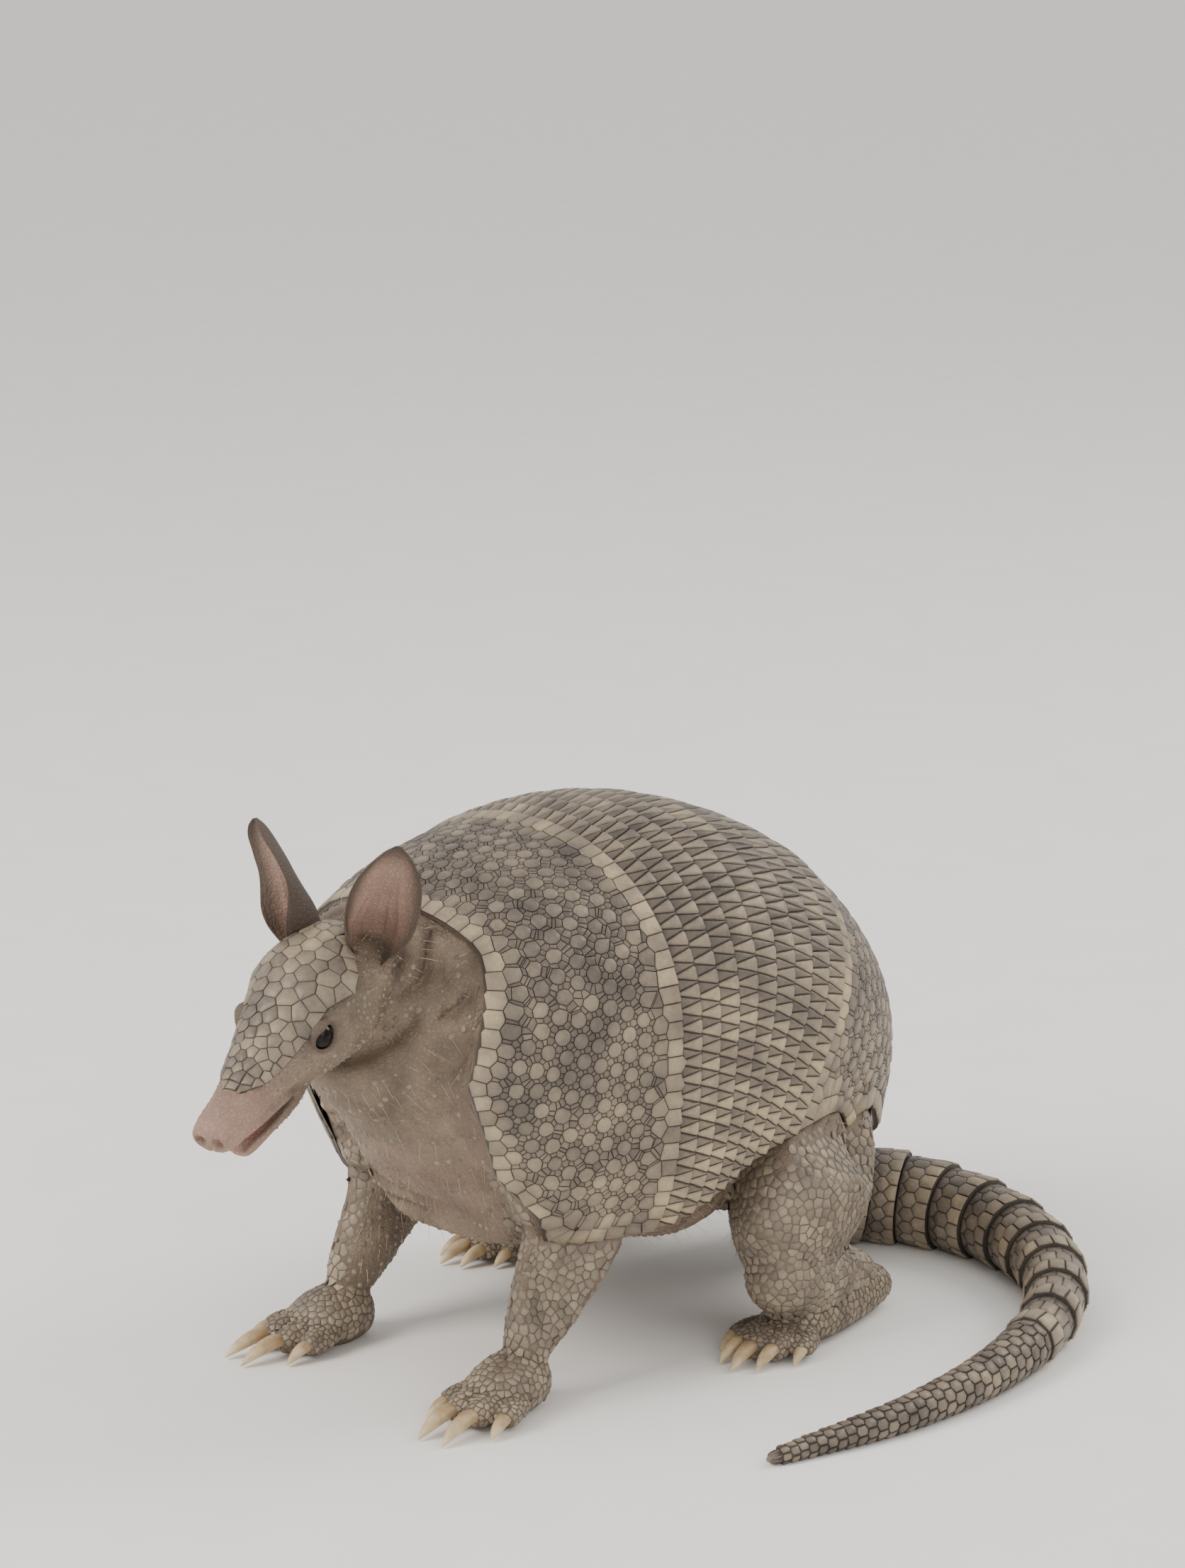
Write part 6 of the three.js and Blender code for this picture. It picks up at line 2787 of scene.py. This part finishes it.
@dataclass(frozen=True)
class EyeGloss(Finish):
    """A wet, nearly black eye: a dark brown iris hardly parts from its pupil under a clear cornea."""

    name: str = "eye_gloss"

    def surface(self, add: Callable[..., Socket], place: Socket) -> dict[str, object]:
        """Adds the iris is flecked at 0.8 mm.

        Args:
            add: Adds a node to the material.
            place: The places on the piece.

        Returns:
            The surface's inputs by name.
        """
        iris = add("Attribute", out="Fac", attribute_name="relief")
        fleck = add("TexNoise", {"Vector": place, "Scale": per_metre(0.8), "Detail": 3})
        shade = add("Math", (iris, add("MapRange", (fleck, 0.2, 0.8, 0.5, 1.0))), operation="MULTIPLY")
        stops = ((0.0, "#040202"), (0.5, "#120a06"), (1.0, "#28170d"))
        return {
            "Base Color": add("ValToRGB", (shade,), stops=stops),
            "Roughness": 0.04,
            "IOR": 1.38,
            "Specular IOR Level": 0.3,
        }


@dataclass(frozen=True)
class TongueFlesh(Finish):
    """A moist pink tongue with fine bumps."""

    name: str = "tongue_flesh"

    def surface(self, add: Callable[..., Socket], place: Socket) -> dict[str, object]:
        """Adds clouds of 3 mm and buds of 0.6 mm.

        Args:
            add: Adds a node to the material.
            place: The places on the piece.

        Returns:
            The surface's inputs by name.
        """
        clouds = add("TexNoise", {"Vector": place, "Scale": per_metre(3), "Detail": 4})
        buds = add("TexVoronoi", {"Vector": place, "Scale": per_metre(0.6)}, feature="F1")
        height = add("MapRange", (buds, 0.0, 0.5, 1.0, 0.0))
        return {
            "Base Color": add("ValToRGB", (clouds,), stops=((0.3, "#8f4a47"), (0.7, "#b96f69"))),
            "Roughness": add("MapRange", (clouds, 0.3, 0.7, 0.22, 0.4)),
            "Normal": add("Bump", {"Height": height, "Distance": 0.08 * MM}),
            "IOR": 1.4,
            "Subsurface Weight": 0.2,
            "Subsurface Radius": (0.004, 0.0015, 0.001),
            "Subsurface Scale": 0.5,
        }


@dataclass(frozen=True)
class PalePaper(Finish):
    """The matt pale paper of a studio floor."""

    name: str = "studio_floor"

    def surface(self, add: Callable[..., Socket], place: Socket) -> dict[str, object]:
        """Adds faint clouds of 40 mm.

        Args:
            add: Adds a node to the material.
            place: The places on the piece.

        Returns:
            The surface's inputs by name.
        """
        clouds = add("TexNoise", {"Vector": place, "Scale": per_metre(40), "Detail": 2})
        paper = add("ValToRGB", (clouds,), stops=((0.3, "#f9f8f6"), (0.7, "#fcfbfa")))
        return {"Base Color": paper, "Roughness": 0.9}


# ------------------------------------------------------------------ small parts


class Slot(Enum):
    """The record's material slots."""

    SKIN = "skin"
    SHELL = "shell"
    EYE = "eye"
    TONGUE = "tongue"
    CLAW = "claw"


def dress(piece: Piece, material: bpy.types.Material, slot: Slot, *nodes: str) -> Piece:
    """Gives a piece its finish and its place in the frame.

    Args:
        piece: The piece.
        material: Its finish.
        slot: The record's slot for its finish; not used.
        nodes: The CAD nodes that it stands for.

    Returns:
        The piece.
    """
    piece.data.materials.clear()
    piece.data.materials.append(material)
    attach(piece, "root")
    if nodes:
        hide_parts(*nodes)
    LOG.info("%s: %d faces", piece.name, len(piece.data.polygons))
    return piece


def smooth_ball(name: str, around: int, along: int, place: Move) -> Piece:
    """A moulded ball, shaded smooth and without a map; its arguments are moulded_ball's.

    Args:
        name: The piece's name.
        around: Points round each ring.
        along: Rings from end to end.
        place: Moves the unit ball's points on to the form.

    Returns:
        The piece.
    """
    piece = moulded_ball(name, around, along, place)
    piece.data.uv_layers.remove(piece.data.uv_layers[0])
    smooth_shade(piece)
    return piece


@dataclass
class Eye:
    """One eyeball."""

    name: str
    hand: int

    def build(self) -> Piece:
        """Models the eyeball, with a slight cornea and the iris marked.

        Returns:
            The piece.
        """
        centre, axis, _, _ = eye_axes(self.hand)

        def place(ball: Array) -> Array:
            """Where the blank's points go."""
            swell = 1 + 0.035 * step(ball @ axis, 0.72, 0.92)
            return in_head(centre + ball * (EYE_RADIUS * swell)[:, None])

        piece = smooth_ball(self.name, 48, 40, place)
        toward = (to_head(coordinates(piece) / MM) - centre) / EYE_RADIUS @ axis
        write_attribute(piece, "relief", step(toward, 0.7, 0.8) * (1 - step(toward, 0.9, 0.93)))
        return piece


@dataclass
class Claw:
    """One claw, curved down and narrowing to its tip."""

    name: str
    limb: Limb

    def build(self) -> Piece:
        """Models the claw.

        Returns:
            The piece.
        """

        def place(ball: Array) -> Array:
            """Where the blank's points go."""
            point = self.limb.place(ball)
            point[:, 2] = np.maximum(point[:, 2], 0)
            return point

        piece = smooth_ball(self.name, 24, 32, place)
        start, end = np.array(self.limb.route[0]) + ORIGIN, np.array(self.limb.route[-1]) + ORIGIN
        far = (coordinates(piece) / MM - start) @ (end - start) / np.sum((end - start) ** 2)
        write_attribute(piece, "relief", np.clip(far, 0, 1))
        return piece


@dataclass
class Tongue:
    """The tip of the tongue in the open mouth."""

    def build(self) -> Piece:
        """Models the tongue with its middle furrow.

        Returns:
            The piece.
        """

        def place(ball: Array) -> Array:
            """Where the blank's points go."""
            furrow = 0.25 * np.exp(-((ball[:, 0] / 0.16) ** 2)) * (ball[:, 2] > 0)
            sunk = ball.copy()
            sunk[:, 2] *= 1 - furrow
            return TONGUE.place(sunk)

        return smooth_ball("tongue_body", 32, 40, place)


# ------------------------------------------------------------------ stage


@dataclass
class Studio:
    """A pale floor, soft lights and the camera."""

    azimuth: float = 46.0
    elevation: float = 13.5
    distance: float = 1.5
    lens: float = 98.0
    target: tuple[float, float, float] = (-0.008, -0.0083, 0.212)

    def build(self) -> None:
        """Makes the floor, the lights and the camera."""
        pick()
        bpy.ops.mesh.primitive_circle_add(vertices=96, radius=60, fill_type="NGON", location=(0, 0, 0))
        floor = bpy.context.object
        floor.name = "studio_floor"
        floor.data.materials.append(PalePaper().material())
        world = bpy.data.worlds.new("studio")
        bpy.context.scene.world = world
        world.use_nodes = True
        background = world.node_tree.nodes["Background"]
        background.inputs["Color"].default_value = colour("#f1f0ee")
        background.inputs["Strength"].default_value = 1.0
        self.softbox("key", (-0.5, -1.6, 1.5), 1.0, 34)
        self.softbox("fill", (1.9, -0.6, 0.9), 1.2, 9)
        self.softbox("rim", (0.5, 1.6, 1.4), 0.9, 16)
        self.camera()

    def softbox(self, name: str, place: Sequence[float], size: float, watts: float) -> None:
        """Adds a square soft light aimed at the animal.

        Args:
            name: The light's name.
            place: Where it hangs, in metres.
            size: Its side, in metres.
            watts: Its power.
        """
        light = bpy.data.lights.new(name, "AREA")
        light.size, light.energy = size, watts
        light.color = colour("#fff8ee")[:3]
        lamp = placed(name, light)
        lamp.location = place
        lamp.rotation_euler = (Vector((0, 0, 0.1)) - Vector(place)).to_track_quat("-Z", "Y").to_euler()

    def camera(self) -> None:
        """Sets the camera a little above the animal, half-way between its face and its left side."""
        a, e = self.azimuth * DEGREE, self.elevation * DEGREE
        target = Vector(self.target)
        away = Vector((math.sin(a) * math.cos(e), -math.cos(a) * math.cos(e), math.sin(e)))
        data = bpy.data.cameras.new("camera")
        data.lens, data.sensor_fit, data.sensor_height, data.sensor_width = self.lens, "VERTICAL", 36, 36
        camera = placed("camera", data)
        camera.location = target + away * self.distance
        camera.rotation_euler = (-away).to_track_quat("-Z", "Y").to_euler()
        bpy.context.scene.camera = camera


# ------------------------------------------------------------------ assembly


def flesh_nodes() -> list[str]:
    """The CAD nodes of flesh that the one skin stands for.

    Returns:
        Their names.
    """
    nodes = ["trunk", "neck", "head", "lower_jaw"]
    for side in SIDES:
        kinds = ("foreleg", "forefoot", "hindleg", "hindfoot")
        nodes += [f"ear_{side}"] + [f"{kind}_{side}" for kind in kinds]
    return nodes


def main() -> None:
    """Builds the armadillo, piece by piece."""
    logging.basicConfig(level=logging.INFO, format="%(name)s %(message)s")
    Studio().build()
    horn = ScuteHorn().material()
    shields = (
        ("scapular_shield", PlateForm(scapular_front, level(SCAPULAR_END - BAND_GAP / 2), 0.8, rows=41), 11),
        ("pelvic_shield", PlateForm(level(BANDS_END + BAND_GAP / 2), pelvic_rear, 0.9, rows=41), 12),
    )
    for name, form, seed in shields:
        dress(Shield(name + "_scutes", form, seed).build(), horn, Slot.SHELL, name)
    for i in range(BANDS):
        dress(Band(i).build(), horn, Slot.SHELL, f"band_{i + 1}")
    dress(HeadShield().build(), horn, Slot.SHELL, "head_shield")
    tail = TailArmour()
    for i in range(TAIL_RINGS):
        dress(tail.ring(i), horn, Slot.SHELL, f"tail_ring_{i + 1:02d}")
    dress(tail.tip(), horn, Slot.SHELL, "tail_tip")

    chart = Chart()
    skin = Skin(chart).build()
    dress(skin, Hide().material(), Slot.SKIN, *flesh_nodes())
    scales = HideScales(chart)
    # The first colour is the soil and painted shade of the grooves
    hide_horn = ScuteHorn("hide_scale_horn", "#3d332c", "#524840", "#6f6458", "#8f8270", "#b3a58b").material()
    for piece in scales.build(Hug(skin)):
        dress(piece, hide_horn, Slot.SKIN)
    bristle = Bristle().material()
    for piece in scales.bristles():
        dress(piece, bristle, Slot.SKIN)
    gloss, claw_horn = EyeGloss().material(), ClawHorn().material()
    for side, hand in SIDES.items():
        dress(Eye(f"eyeball_{side}", hand).build(), gloss, Slot.EYE, f"eye_{side}")
        for leg in (FORELEG, HINDLEG):
            for name, limb in leg.claws(hand):
                node = f"{leg.name}claw_{name}_{side}"
                dress(Claw(node + "_horn", limb).build(), claw_horn, Slot.CLAW, node)
    dress(Tongue().build(), TongueFlesh().material(), Slot.TONGUE, "tongue")


if __name__ == "__main__":
    main()
